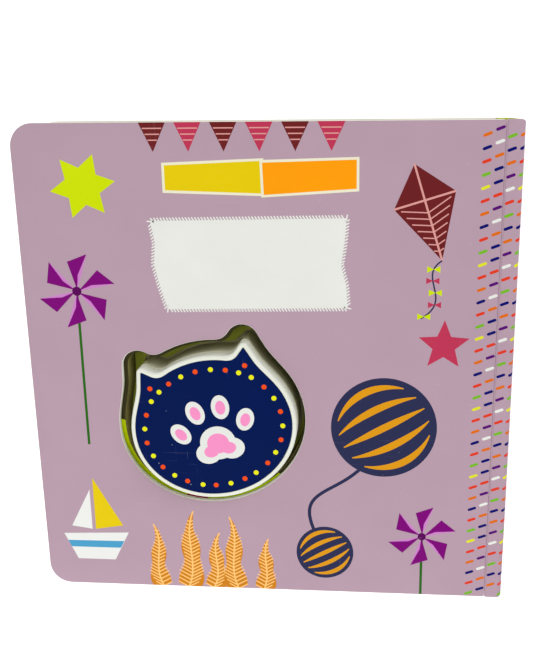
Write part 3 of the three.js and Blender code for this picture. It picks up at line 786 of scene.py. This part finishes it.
def reed(x, height, lean, width):
    # a broad striped blade of grass that stands on the foot edge
    steps = 28
    low, high = (x + lean * 1.6, height * 0.35), (x - lean * 0.6, height * 0.65)
    sway = bezier((x, 0), low, high, (x + lean, height), steps)
    widths = []
    for i in range(steps + 1):
        wave, taper = 0.84 + 0.16 * math.sin(i * 0.5), 1 - (i / steps) ** 2.2
        widths.append(width * wave * taper + 0.15)
    made = [onCover(ribbon(sway, widths), "reedAmber")]
    rise = 0.0
    while rise < height * 0.9:
        share = rise / height * steps
        i = min(int(share), steps - 1)
        (ax, ay), (bx, by) = sway[i], sway[i + 1]
        px, py = ax + (bx - ax) * (share - i), ay + (by - ay) * (share - i)
        half = widths[i] / 2
        for side in (-1, 1):
            tip = (px + side * half * 0.96, py + half * 0.55)
            made.append(onCover(ribbon([(px, py), tip], [reeds["line"], reeds["line"] * 0.8]), "reedPale"))
        rise += reeds["linePitch"]
    made.append(onCover(ribbon(sway, [reeds["midrib"]] * (steps + 1)), "reedPale"))
    return made


woolBall = {"stripeTurn": 0.5, "stripes": (7, 0, -7, 14, -14), "stripeWidth": 2.9}


def ballOfWool(x, y, radius):
    made = [onCover(ellipse(x, y, radius, radius, 0, 72), "navy")]
    c, s = math.cos(woolBall["stripeTurn"]), math.sin(woolBall["stripeTurn"])
    scale = radius / 24
    for bulge in woolBall["stripes"]:
        off = bulge * scale
        half = math.sqrt(radius**2 - off**2) * 0.86
        near, far = off * 0.9, off * 1.5
        curve = bezier((-half, near), (-half * 0.4, far), (half * 0.4, far), (half, near), 18)
        path = [(x + u * c - v * s, y + u * s + v * c) for u, v in curve]
        widths = [0.4 + woolBall["stripeWidth"] * scale * math.sin(math.pi * i / 18) for i in range(19)]
        made.append(onCover(ribbon(path, widths), "amber"))
    return made


label = {
    "left": [(48.6, 145.8), (49.9, 138), (49.2, 130), (51.0, 122), (53.4, 113.6)],
    "right": [(118.6, 114.6), (118.0, 123), (116.2, 130), (117.4, 138), (118.2, 146.8)],
}
labelOutline = label["left"] + label["right"]


coverPrint = {
    "banners": [
        ([(54.6, 156.6), (88.6, 155.4), (88.6, 166.6), (54.6, 165.2)], "yellow"),
        ([(89.4, 154.9), (121.6, 157.0), (121.6, 166.9), (89.0, 166.0)], "orange"),
    ],
    "kite": (145, 153, 11, 13, 22, 0.3),
    "stars": [((25, 158, 12, 6.6, 6, 0.15), "lime"), ((153, 101, 9.5, 4.2, 5, 0.3), "crimson")],
    "pinwheels": [(20, 120, 14.5, 60), (147, 25, 13, 0)],
    "boat": [
        ([(7, 22), (12, 11), (27, 11), (33, 23)], "white"),
        ([(8.4, 19), (9.6, 16.2), (29.4, 16.2), (31, 19.2)], "blue"),
        ([(20, 24.2), (20, 46), (31, 26)], "yellow"),
        ([(18.6, 24.2), (18.6, 41), (10.5, 25.4)], "white"),
    ],
    "thread": [(124, 53), (112, 40), (96, 44), (109, 20)],
    "threadWidth": 1.3,
    "balls": [(132, 69, 19.5), (110, 17, 11)],
}


def makeCoverPrint():
    made = []
    for corners, name in coverPrint["banners"]:
        made += banner(corners, name)
    made.append(onCover(labelOutline, "label"))
    for i in range(pennants["count"]):
        x = pennants["first"] + i * pennants["across"]
        name = ("maroon", "crimson")[i % 2]
        made += pennant(x, pennants["edge"], pennants["width"], pennants["length"], name)
    made += kite(*coverPrint["kite"])
    made += [onCover(star(*shape), name) for shape, name in coverPrint["stars"]]
    for place in coverPrint["pinwheels"]:
        made += pinwheel(*place)
    made += [onCover(corners, name) for corners, name in coverPrint["boat"]]
    for blade in reeds["blades"]:
        made += reed(*blade)
    thread = bezier(*coverPrint["thread"], 26)
    made.append(onCover(ribbon(thread, [coverPrint["threadWidth"]] * len(thread)), "navy"))
    for place in coverPrint["balls"]:
        made += ballOfWool(*place)
    return made


dashRows = {
    "first": 165.4,
    "across": 4.15,
    "up": 4.45,
    "step": 1.93,
    "length": 3.3,
    "thickness": 1.05,
    "turn": math.radians(21),
    "colours": [
        ["green", "red", "dashNavy", "dashOrange", "red", "dashYellow"],
        ["dashNavy", "dashOrange", "label", "dashPurple", "red", "dashNavy"],
        ["dashOrange", "dashNavy", "green", "red", "label", "dashPurple"],
    ],
}


def dashes(column, x, low, high):
    # one column of slanted dashes; the pattern repeats every three columns
    made = []
    colours = dashRows["colours"][column % 3]
    y = low + 1.6 + (column % 3) * dashRows["step"]
    row = 0
    while y < high - 1.2:
        shape = capsule(x, y, dashRows["length"], dashRows["thickness"], dashRows["turn"])
        made.append((shape, inkIndex(colours[row % len(colours)])))
        y += dashRows["up"]
        row += 1
    return made


# Front cover

frontCoverSizes = {
    "edgeRound": 0.35,
    "foreRadius": 8.5,
    "hingeRadius": 0.8,
    "windowGap": 4.0,
    "windowShift": (-1.1, 1.1),
    "tipReach": 1.1,
    "wrappedSide": 1.5,
}


def boardOutline(low, high, inset):
    fore, hinge = frontCoverSizes["foreRadius"] - inset, frontCoverSizes["hingeRadius"] - inset
    return roundedRectangle(low.x + inset, high.x - inset, low.y + inset, high.y - inset, fore, hinge)


def makeFrontCover():
    sizes = frontCoverSizes
    prints = makeCoverPrint()
    for column in range(2):
        x = coverLow.x + dashRows["first"] + column * dashRows["across"]
        prints += dashes(column, x, coverLow.y, coverHigh.y)
    outline = boardOutline(coverLow, coverHigh, sizes["edgeRound"])
    window = headOutline(sizes["windowGap"] + sizes["edgeRound"], sizes["windowShift"], sizes["tipReach"])
    profile = edgeProfile(coverHigh.z, coverLow.z, sizes["edgeRound"])
    bm = bmesh.new()
    white = len(inkOrder)
    wrapped = coverHigh.x - sizes["wrappedSide"]
    boardPiece(bm, outline, [window], prints, profile, white, inkIndex("lime"), None, wrapped)
    return finishMesh("frontCover", bm, [*inks.values(), cutWhite], "front", ["front_cover"])


makeFrontCover()


# Label's stitched fringe, by Geometry Nodes

fringe = {
    "Pitch": 1.13 * mm,
    "Length": 2.6 * mm,
    "Width": 0.5 * mm,
    "Thickness": 0.03 * mm,
    "Lean": math.radians(-58),
}


def makeFringeTree():
    tree = bpy.data.node_groups.new("stitchedFringe", "GeometryNodeTree")
    sockets = tree.interface
    sockets.new_socket("Geometry", in_out="INPUT", socket_type="NodeSocketGeometry")
    for name, value in fringe.items():
        sockets.new_socket(name, in_out="INPUT", socket_type="NodeSocketFloat").default_value = value
    sockets.new_socket("Thread", in_out="INPUT", socket_type="NodeSocketMaterial")
    sockets.new_socket("Geometry", in_out="OUTPUT", socket_type="NodeSocketGeometry")
    add, link = tree.nodes.new, tree.links.new
    source, sink = add("NodeGroupInput"), add("NodeGroupOutput")
    path = add("GeometryNodeMeshToCurve")
    link(source.outputs["Geometry"], path.inputs["Mesh"])
    spaced = add("GeometryNodeResampleCurve")
    spaced.mode = "LENGTH"
    link(path.outputs["Curve"], spaced.inputs["Curve"])
    link(source.outputs["Pitch"], spaced.inputs["Length"])
    size = add("ShaderNodeCombineXYZ")
    for axis, name in zip("XYZ", ("Length", "Width", "Thickness")):
        link(source.outputs[name], size.inputs[axis])
    stitch = add("GeometryNodeMeshCube")
    link(size.outputs["Vector"], stitch.inputs["Size"])
    follow = add("FunctionNodeAlignRotationToVector")
    follow.axis = "X"
    link(add("GeometryNodeInputTangent").outputs["Tangent"], follow.inputs["Vector"])
    placed = add("GeometryNodeInstanceOnPoints")
    link(spaced.outputs["Curve"], placed.inputs["Points"])
    link(stitch.outputs["Mesh"], placed.inputs["Instance"])
    link(follow.outputs["Rotation"], placed.inputs["Rotation"])
    lean = add("FunctionNodeAxisAngleToRotation")
    link(source.outputs["Lean"], lean.inputs["Angle"])
    leaning = add("GeometryNodeRotateInstances")
    link(placed.outputs["Instances"], leaning.inputs["Instances"])
    link(lean.outputs["Rotation"], leaning.inputs["Rotation"])
    real = add("GeometryNodeRealizeInstances")
    link(leaning.outputs["Instances"], real.inputs["Geometry"])
    coloured = add("GeometryNodeSetMaterial")
    link(real.outputs["Geometry"], coloured.inputs["Geometry"])
    link(source.outputs["Thread"], coloured.inputs["Material"])
    link(coloured.outputs["Geometry"], sink.inputs["Geometry"])
    return tree


def makeFringe():
    loop, unused = onCover(labelOutline[2:] + labelOutline[:2], "label")
    mesh = bpy.data.meshes.new("labelEdge")
    count = len(loop)
    corners = [(x * mm, y * mm, coverHigh.z * mm) for x, y in loop]
    edges = [(i, (i + 1) % count) for i in range(count)]
    mesh.from_pydata(corners, edges, [])
    piece = bpy.data.objects.new("labelFringe", mesh)
    bpy.context.scene.collection.objects.link(piece)
    modifier = piece.modifiers.new("fringe", "NODES")
    modifier.node_group = makeFringeTree()
    values = {**fringe, "Thread": inks["label"]}
    for socket in modifier.node_group.interface.items_tree:
        if socket.in_out == "INPUT" and socket.name in values:
            modifier[socket.identifier] = values[socket.name]
    evaluated = piece.evaluated_get(bpy.context.evaluated_depsgraph_get())
    made = bpy.data.meshes.new_from_object(evaluated)
    piece.modifiers.remove(modifier)
    piece.data = made
    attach(piece, "front")
    print("labelFringe", len(made.polygons), "faces")


makeFringe()


# Spine with its two hinge strips and the pressed creases beside them

spineSizes = {
    "bend": 1.8,
    "wall": 1.6,
    "arcSteps": 8,
    "cornerInset": 1.3,
    "creaseDrop": 0.22,
    "creaseReach": 0.46,
    "paper": 0.2,
}


def spineSection():
    # (x, z, inset of the ends) along the printed outside, from the front crease to the back one
    left, right, top, low = spineLow.x, spineHigh.x, spineHigh.z, spineLow.z
    bend, drop, reach = spineSizes["bend"], spineSizes["creaseDrop"], spineSizes["creaseReach"]
    steps = spineSizes["arcSteps"]
    half = [(left - reach, top - drop, 0), (left, top - drop, 0)]
    half += [(left + 0.08, top - drop * 0.4, 0), (left + 0.3, top, 0)]
    for i in range(steps + 1):
        a = math.pi / 2 * i / steps
        inset = spineSizes["cornerInset"] * (1 - math.cos(a))
        half.append((right - bend + bend * math.sin(a), top - bend + bend * math.cos(a), inset))
    return half + [(x, top + low - z, inset) for x, z, inset in reversed(half)]


def makeSpine():
    section = spineSection()
    stops = [0.0]
    for (ax, az, unused), (bx, bz, rest) in zip(section, section[1:]):
        stops.append(stops[-1] + math.hypot(bx - ax, bz - az))

    def onSpine(u):
        i = next((k for k, stop in enumerate(stops[1:]) if u <= stop + 1e-6), len(stops) - 2)
        share = (u - stops[i]) / (stops[i + 1] - stops[i])
        (ax, az, unused), (bx, bz, rest) = section[i], section[i + 1]
        return ax + (bx - ax) * share, az + (bz - az) * share

    foot, headEdge = spineLow.y, spineHigh.y
    outline = [(u, foot + inset) for u, (x, z, inset) in zip(stops, section)]
    outline += [(u, headEdge - inset) for u, (x, z, inset) in reversed(list(zip(stops, section)))]
    prints = [([(u, foot - 1), (u, headEdge + 1)], 0) for u in stops[1:-1]]
    for column in range(2, 8):
        u = coverLow.x + dashRows["first"] + column * dashRows["across"] - section[0][0]
        prints += dashes(column, u, foot, headEdge)
    verts, kept = triangulate(outline, [], prints)
    bm = bmesh.new()
    made = {}
    for i in sorted({i for face, ink in kept for i in face}):
        x, z = onSpine(verts[i].x)
        made[i] = bm.verts.new((x * mm, verts[i].y * mm, z * mm))
    for face, ink in kept:
        bm.faces.new([made[i] for i in face]).material_index = ink
    left, right, wall = spineLow.x, spineHigh.x, spineSizes["wall"]
    under = spineHigh.z - spineSizes["creaseDrop"] - spineSizes["paper"]
    inner = [(left - spineSizes["creaseReach"], under), (left, under)]
    inner += [(left, coverLow.z), (right - wall, coverLow.z)]
    inner += [(x, spineHigh.z + spineLow.z - z) for x, z in reversed(inner)]
    white, ends = len(inkOrder), []
    for y, side in ((foot, 1), (headEdge, -1)):
        edge = {round(u, 4): y + side * inset for u, (x, z, inset) in zip(stops, section)}
        line = []
        for i in made:
            u = round(verts[i].x, 4)
            if u in edge and abs(verts[i].y - edge[u]) < 1e-3:
                line.append(i)
        line.sort(key=lambda i: verts[i].x)
        inside = [bm.verts.new((x * mm, y * mm, z * mm)) for x, z in inner]
        closeLoop(bm, [made[i] for i in line] + inside[::-1], white)
        ends.append((made[line[0]], made[line[-1]], inside))
    (a0, a1, insideA), (b0, b1, insideB) = ends
    for i in range(len(inner) - 1):
        innerFace = bm.faces.new([insideA[i], insideA[i + 1], insideB[i + 1], insideB[i]])
        innerFace.material_index = inkIndex("lime")
    bm.faces.new([a0, b0, insideB[0], insideA[0]]).material_index = 0
    bm.faces.new([a1, insideA[-1], insideB[-1], b1]).material_index = 0
    return finishMesh("spineWrap", bm, [*inks.values(), cutWhite], "pages", ["spine_wrap"], 30)


makeSpine()


# Leaves

pageSizes = {
    "leaves": 5,
    "board": 1.7,
    "ply": 0.03,
    "groove": 0.25,
    "depth": 1.2,
    "windowGap": 3.0,
    "windowShift": (-0.8, 0.8),
    "tipReach": 1.1,
    "border": 3.0,
    "limeBelow": -12,
    "discs": [
        (-60, 55, 16, "blue"),
        (-15, 62, 9, "yellow"),
        (40, 40, 20, "orange"),
        (60, -35, 14, "crimson"),
        (30, -70, 11, "yellow"),
        (-70, -65, 12, "blue"),
    ],
}


def makePages():
    sizes = pageSizes
    profile = []
    for i in range(sizes["leaves"]):
        top = blockHigh.z - i * (sizes["board"] + sizes["groove"])
        if i:
            profile.append((-sizes["depth"], top))
        profile += [(0, top), (0, top - sizes["ply"]), (0, top - sizes["board"])]
        if i < sizes["leaves"] - 1:
            profile.append((-sizes["depth"], top - sizes["board"]))
    lime = inkIndex("lime")
    outline = boardOutline(blockLow, blockHigh, 0)
    prints = [([(x * 1.01, y * 1.01) for x, y in outline], lime)]
    for x, y, radius, name in sizes["discs"]:
        prints.append((ellipse(x, y, radius, radius, 0, 48), inkIndex(name)))
    # painted shade: a dark umber band round each leaf's window, under the cover's edge; below a slanted line
    # across its foot the band stays lime
    around = headOutline(sizes["windowGap"] + sizes["border"], sizes["windowShift"], sizes["tipReach"])
    prints.append((around, inkIndex("umberShade")))
    low = head["y"] + sizes["limeBelow"]
    prints.append(([(x, min(y, low + 0.35 * (head["x"] - x))) for x, y in around], lime))
    prints.append((ellipse(head["x"] - 9, head["y"] - 32.5, 5, 3.5), inkIndex("crimson")))
    bm = bmesh.new()
    white = len(inkOrder)
    window = headOutline(sizes["windowGap"], sizes["windowShift"], sizes["tipReach"])
    boardPiece(bm, outline, [window], prints, profile, white, inkIndex("yellow"), white + 1)
    materials = [*inks.values(), cutWhite, windowShadedBoard]
    return finishMesh("pageBlock", bm, materials, "pages", ["page_block"], 30)


makePages()


# Press button

buttonSizes = {
    "round": 0.8,
    "depth": 4.2,
    "roof": 2.0,
    "rim": 1.6,
    "recess": 0.42,
    "collarWall": 1.6,
    "slide": 0.4,
    "tongue": 1.4,
    "tongueDepth": 3.0,
    "postCircle": 19.5,
    "postRadius": 2.5,
    "screwHole": 1.1,
    "screwDepth": 5.5,
}
buttonTop = capHigh.z


def postPlaces():
    for i in range(3):
        turn = head["tilt"] + math.pi / 2 + i * 2 * math.pi / 3
        reach = buttonSizes["postCircle"]
        yield head["x"] + reach * math.cos(turn), head["y"] + reach * math.sin(turn)


def makeCap():
    sizes = buttonSizes
    rim, radius, steps = sizes["rim"], sizes["round"], 6
    foot = buttonTop - sizes["depth"]
    outer = -sizes["collarWall"] - sizes["slide"]
    inner = outer - sizes["tongue"]
    rings = [(-rim, buttonTop - sizes["recess"]), (-rim, buttonTop - 0.08), (0.08 - rim, buttonTop)]
    for i in range(steps + 1):
        a = math.pi / 2 * i / steps
        rings.append((-radius * (1 - math.sin(a)), buttonTop - radius * (1 - math.cos(a))))
    rings += [(0, foot + 0.12), (-0.12, foot), (outer, foot), (outer, foot - sizes["tongueDepth"])]
    rings += [(inner, foot - sizes["tongueDepth"]), (inner, buttonTop - sizes["roof"])]
    bm = bmesh.new()
    edge = headOutline(0)
    loft(bm, [(movedOutline(edge, r) if r > -rim else headOutline(r), z) for r, z in rings])
    low, high, hole = capLow.z, buttonTop - sizes["roof"] + 0.1, sizes["screwHole"]
    post = [(0, low + sizes["screwDepth"]), (hole, low + sizes["screwDepth"]), (hole, low)]
    post += [(sizes["postRadius"], low), (sizes["postRadius"], high), (0, high)]
    for x, y in postPlaces():
        turned(bm, x, y, post)
    return finishMesh("buttonCap", bm, [capPlastic], "button", ["button_cap"], 30)


sheetSizes = {
    "gap": 0.15,
    "dots": 30,
    "dotsInset": 5.2,
    "dot": 0.95,
    "toes": [(-12.6, 0.6, 3.3, 4.5, 0.5), (-4.9, 7.4, 3.4, 4.7, 0.15)],
    "pad": [(0, -6, 6.8, 6.6), (-4.6, -9.2, 4.8, 4.2), (4.6, -9.2, 4.8, 4.2)],
    "padPink": [(0, -6.2, 4.2, 4), (-3.4, -8.8, 2.8, 2.3), (3.4, -8.8, 2.8, 2.3)],
}
sheetInks = {
    "navy": printInk("sheet_navy", (2, 24, 80), 0.8, 0.5, 0.03),
    "orange": printInk("sheet_orange", (240, 78, 16), 0.4, 0.4),
    "white": printInk("sheet_white", (228, 230, 224), 0.3, 0.4),
    "pink": printInk("sheet_pink", (244, 146, 196), 0.3, 0.4),
    "yellow": printInk("sheet_yellow", (234, 234, 20), 0.3, 0.4),
}
sheetOrder = list(sheetInks)


def makeSheet():
    # a plain paw mark inside a ring of dots
    prints = []

    def add(points, name):
        prints.append(([headPoint(*p) for p in points], sheetOrder.index(name)))

    for x, y, halfX, halfY, turn in sheetSizes["toes"]:
        for side in (1, -1):
            add(ellipse(side * x, y, halfX, halfY, side * turn), "white")
            add(ellipse(side * x, y - 0.2, halfX * 0.55, halfY * 0.58, side * turn), "pink")
    for x, y, halfX, halfY in sheetSizes["pad"]:
        add(ellipse(x, y, halfX, halfY), "white")
    for x, y, halfX, halfY in sheetSizes["padPink"]:
        add(ellipse(x, y, halfX, halfY), "pink")
    edge = headOutline(-sheetSizes["dotsInset"])
    lengths = [0.0]
    for a, b in zip(edge, edge[1:] + edge[:1]):
        lengths.append(lengths[-1] + math.dist(a, b))
    for k in range(sheetSizes["dots"]):
        reach = lengths[-1] * k / sheetSizes["dots"]
        i = min(range(len(edge)), key=lambda n: abs(lengths[n] - reach))
        dot = ellipse(*edge[i], sheetSizes["dot"], sheetSizes["dot"], 0, 20)
        prints.append((dot, sheetOrder.index(("yellow", "orange")[k % 2])))
    low, high = boxOf("face_sheet")
    bm = bmesh.new()
    outline = headOutline(-buttonSizes["rim"] - sheetSizes["gap"])
    boardPiece(bm, outline, [], prints, [(0, high.z), (0, low.z)], 0, 0)
    return finishMesh("faceSheet", bm, list(sheetInks.values()), "button", ["face_sheet"])


makeCap()
makeSheet()


# Collar and deck of the sound module

collarSizes = {
    "deck": 1.3,
    "glue": 0.15,
    "corner": 8,
    "plungerHole": 2.6,
    "postHole": 2.9,
    "boss": 2.9,
    "bossInset": 7,
    "screwHole": 1.1,
}


def makeCollar():
    sizes, wall = collarSizes, buttonSizes["collarWall"]
    deckTop = boxOf("spacer_frame")[1].z - sizes["glue"]
    deckFoot = deckTop - sizes["deck"]
    rings = [(0, deckTop - 0.1), (0, deckHigh.z - 0.15), (-0.15, deckHigh.z), (0.15 - wall, deckHigh.z)]
    rings += [(-wall, deckHigh.z - 0.15), (-wall, deckTop - 0.1)]
    bm = bmesh.new()
    loft(bm, [(headOutline(offset), z) for offset, z in rings], closed=True)
    outline = roundedRectangle(deckLow.x, deckHigh.x, deckLow.y, deckHigh.y, sizes["corner"])
    holes = [ellipse(head["x"], head["y"], sizes["plungerHole"], sizes["plungerHole"])]
    holes += [ellipse(x, y, sizes["postHole"], sizes["postHole"]) for x, y in postPlaces()]
    boardPiece(bm, outline, holes, [], [(0, deckTop), (0, deckFoot)], 0, 0)
    hole, boss, low = sizes["screwHole"], sizes["boss"], deckLow.z
    profile = [(0, deckFoot - 1.5), (hole, deckFoot - 1.5), (hole, low), (boss, low)]
    profile += [(boss, deckFoot + 0.1), (0, deckFoot + 0.1)]
    inset = sizes["bossInset"]
    for x in (deckLow.x + inset, deckHigh.x - inset):
        for y in (deckLow.y + inset, deckHigh.y - inset):
            turned(bm, x, y, profile)
    materials = [collarPlastic]
    return finishMesh("upperHousing", bm, materials, "back_case", ["upper_housing"], 30)


makeCollar()


# Back cover, with the battery door's cut-out and the speaker's holes

backSizes = {
    "edgeRound": 0.2,
    "doorGap": 0.3,
    "doorCorner": 2.3,
    "holeRadius": 1.1,
    "holePitch": 4.5,
    "rings": 2,
    "wrappedSide": 1.5,
    "stars": [(-62, 52, 5, "crimson"), (-30, 58, 6, "lime"), (2, 52, 5, "yellow"), (34, 58, 6, "blue")],
}


def makeBackCover():
    sizes = backSizes
    doorLow, doorHigh = boxOf("battery_door")
    speakerLow, speakerHigh = boxOf("speaker_frame")
    middle = (speakerLow + speakerHigh) / 2
    grow = sizes["doorGap"] + sizes["edgeRound"]
    left, right = doorLow.x - grow, doorHigh.x + grow
    foot, top = doorLow.y - grow, doorHigh.y + grow
    holes = [roundedRectangle(left, right, foot, top, sizes["doorCorner"])]
    radius = sizes["holeRadius"] + sizes["edgeRound"]
    for ring in range(sizes["rings"] + 1):
        reach, count = ring * sizes["holePitch"], max(1, 6 * ring)
        for i in range(count):
            a = 2 * math.pi * i / count
            x, y = middle.x + reach * math.cos(a), middle.y + reach * math.sin(a)
            holes.append(ellipse(x, y, radius, radius, 0, 24))
    prints = []
    for column in range(2):
        x = backLow.x + dashRows["first"] + column * dashRows["across"]
        prints += dashes(2 - column, x, backLow.y, backHigh.y)
    for x, y, tips, name in sizes["stars"]:
        prints.append((star(x, y, 9, 4.6, tips, 0.3 * tips), inkIndex(name)))
    outline = boardOutline(backLow, backHigh, sizes["edgeRound"])
    profile = edgeProfile(backHigh.z, backLow.z, sizes["edgeRound"])[::-1]
    bm = bmesh.new()
    white = len(inkOrder)
    wrapped = backHigh.x - sizes["wrappedSide"]
    boardPiece(bm, outline, holes, prints, profile, white, white, None, wrapped)
    return finishMesh("backCover", bm, [*inks.values(), cutWhite], "back_case", ["back_cover"])


makeBackCover()


# Finishes on the solids that stay as they are

solidFinishes = {
    "last_leaf": lastLeafShadedPrint,
    "spacer_frame": cutGrey,
    "lower_housing": blackPlastic,
    "battery_door": blackPlastic,
    "chip_blob": stock("chipResin", (22, 22, 24), (50, 48, 46), 0.25),
    "circuit_board": stock("solderMask", (28, 96, 54), (50, 120, 70), 0.35),
    "rubber_dome": stock("silicone", (220, 220, 212), (190, 188, 176), 0.5),
    "speaker_frame": metal("zincPlate", (190, 190, 188), 0.3),
    "speaker_cone": stock("conePaper", (48, 46, 42), (80, 76, 70), 0.75, 0.6),
    "speaker_magnet": metal("magnetPlate", (110, 112, 116), 0.35),
    "speaker_lead_1": stock("leadBlack", (28, 28, 30), (60, 60, 60), 0.45),
    "speaker_lead_2": stock("leadRed", (180, 38, 30), (130, 30, 26), 0.45),
}
repeatedFinishes = {
    "screw": metal("screwZinc", (180, 180, 178), 0.3),
    "cell": metal("cellSteel", (205, 206, 204), 0.18),
    "contact": metal("contactBrass", (206, 180, 104), 0.25),
    "return_spring": metal("springSteel", (190, 192, 194), 0.22),
}
for name, solid in nodes.items():
    material = solidFinishes.get(name)
    for part, repeated in repeatedFinishes.items():
        if part in name:
            material = repeated
    if material:
        solid.data.materials.clear()
        solid.data.materials.append(material)
print("solids dressed")


# Floor, lights and camera

studio = {"world": 0.55, "floorGlow": 0.45, "left": 1.7, "foot": 2.7, "head": 3.6}


def seenByCamera(tree):
    # 1 where the camera looks straight, by a reflection or through glass
    path = tree.nodes.new("ShaderNodeLightPath")
    seen = maths(tree, "MAXIMUM", path.outputs["Is Camera Ray"], path.outputs["Is Glossy Ray"])
    return maths(tree, "MAXIMUM", seen, path.outputs["Is Transmission Ray"])


def makeFloor():
    bm = bmesh.new()
    bmesh.ops.create_grid(bm, x_segments=1, y_segments=1, size=3)
    mesh = bpy.data.meshes.new("floor")
    bm.to_mesh(mesh)
    bm.free()
    floor = bpy.data.objects.new("floor", mesh)
    floor.data.transform(Matrix.Translation((0, 0, -0.2 * mm)))
    bpy.context.scene.collection.objects.link(floor)
    material = bpy.data.materials.new("paleFloor")
    material.use_nodes = True
    tree = material.node_tree
    shader = tree.nodes["Principled BSDF"]
    shader.inputs["Base Color"].default_value = (0.94, 0.94, 0.94, 1)
    shader.inputs["Roughness"].default_value = 0.9
    shader.inputs["Specular IOR Level"].default_value = 0.1
    shader.inputs["Emission Color"].default_value = (1, 1, 1, 1)
    seen = seenByCamera(tree)
    tree.links.new(maths(tree, "MULTIPLY", seen, studio["floorGlow"]), shader.inputs["Emission Strength"])
    mesh.materials.append(material)


def makeLamp(name, place, size, power):
    light = bpy.data.lights.new(name, "AREA")
    light.shape = "RECTANGLE"
    light.size, light.size_y = size
    light.energy = power
    lamp = bpy.data.objects.new(name, light)
    bpy.context.scene.collection.objects.link(lamp)
    lamp.location = place
    lamp.rotation_euler = (-Vector(place)).to_track_quat("-Z", "Y").to_euler()


def makeSky():
    world = bpy.data.worlds.new("studio")
    bpy.context.scene.world = world
    world.use_nodes = True
    tree = world.node_tree
    sky = tree.nodes["Background"]
    sky.inputs["Color"].default_value = (1, 1, 1, 1)
    seen = seenByCamera(tree)
    tree.links.new(remap(tree, seen, 0, 1, studio["world"], 1.0), sky.inputs["Strength"])


photo = {
    "width": 533,
    "height": 661,
    "focalPixels": 800.0,
    "centreX": 310.0,
    "centreY": 302.7,
    "place": (37.1, 95.1, 302.3),
    "turn": (-13.917, 4.2, -0.525),
}


def makeCamera():
    data = bpy.data.cameras.new("camera")
    camera = bpy.data.objects.new("camera", data)
    bpy.context.scene.collection.objects.link(camera)
    data.sensor_width = 36
    data.lens = photo["focalPixels"] / photo["height"] * data.sensor_width
    data.shift_x = (photo["width"] / 2 - photo["centreX"]) / photo["height"]
    data.shift_y = (photo["centreY"] - photo["height"] / 2) / photo["height"]
    camera.location = Vector(photo["place"]) * mm
    camera.rotation_euler = Euler([math.radians(a) for a in photo["turn"]])
    bpy.context.scene.camera = camera


makeFloor()
makeLamp("softboxLeft", (-0.6, -0.1, 0.8), (0.7, 0.7), studio["left"])
makeLamp("softboxFoot", (-0.1, -0.6, 0.4), (0.8, 0.4), studio["foot"])
makeLamp("softboxHead", (0.5, 0.65, 0.42), (0.8, 0.5), studio["head"])
makeSky()
makeCamera()
bpy.context.scene.view_settings.view_transform = "Standard"
print("studio set")
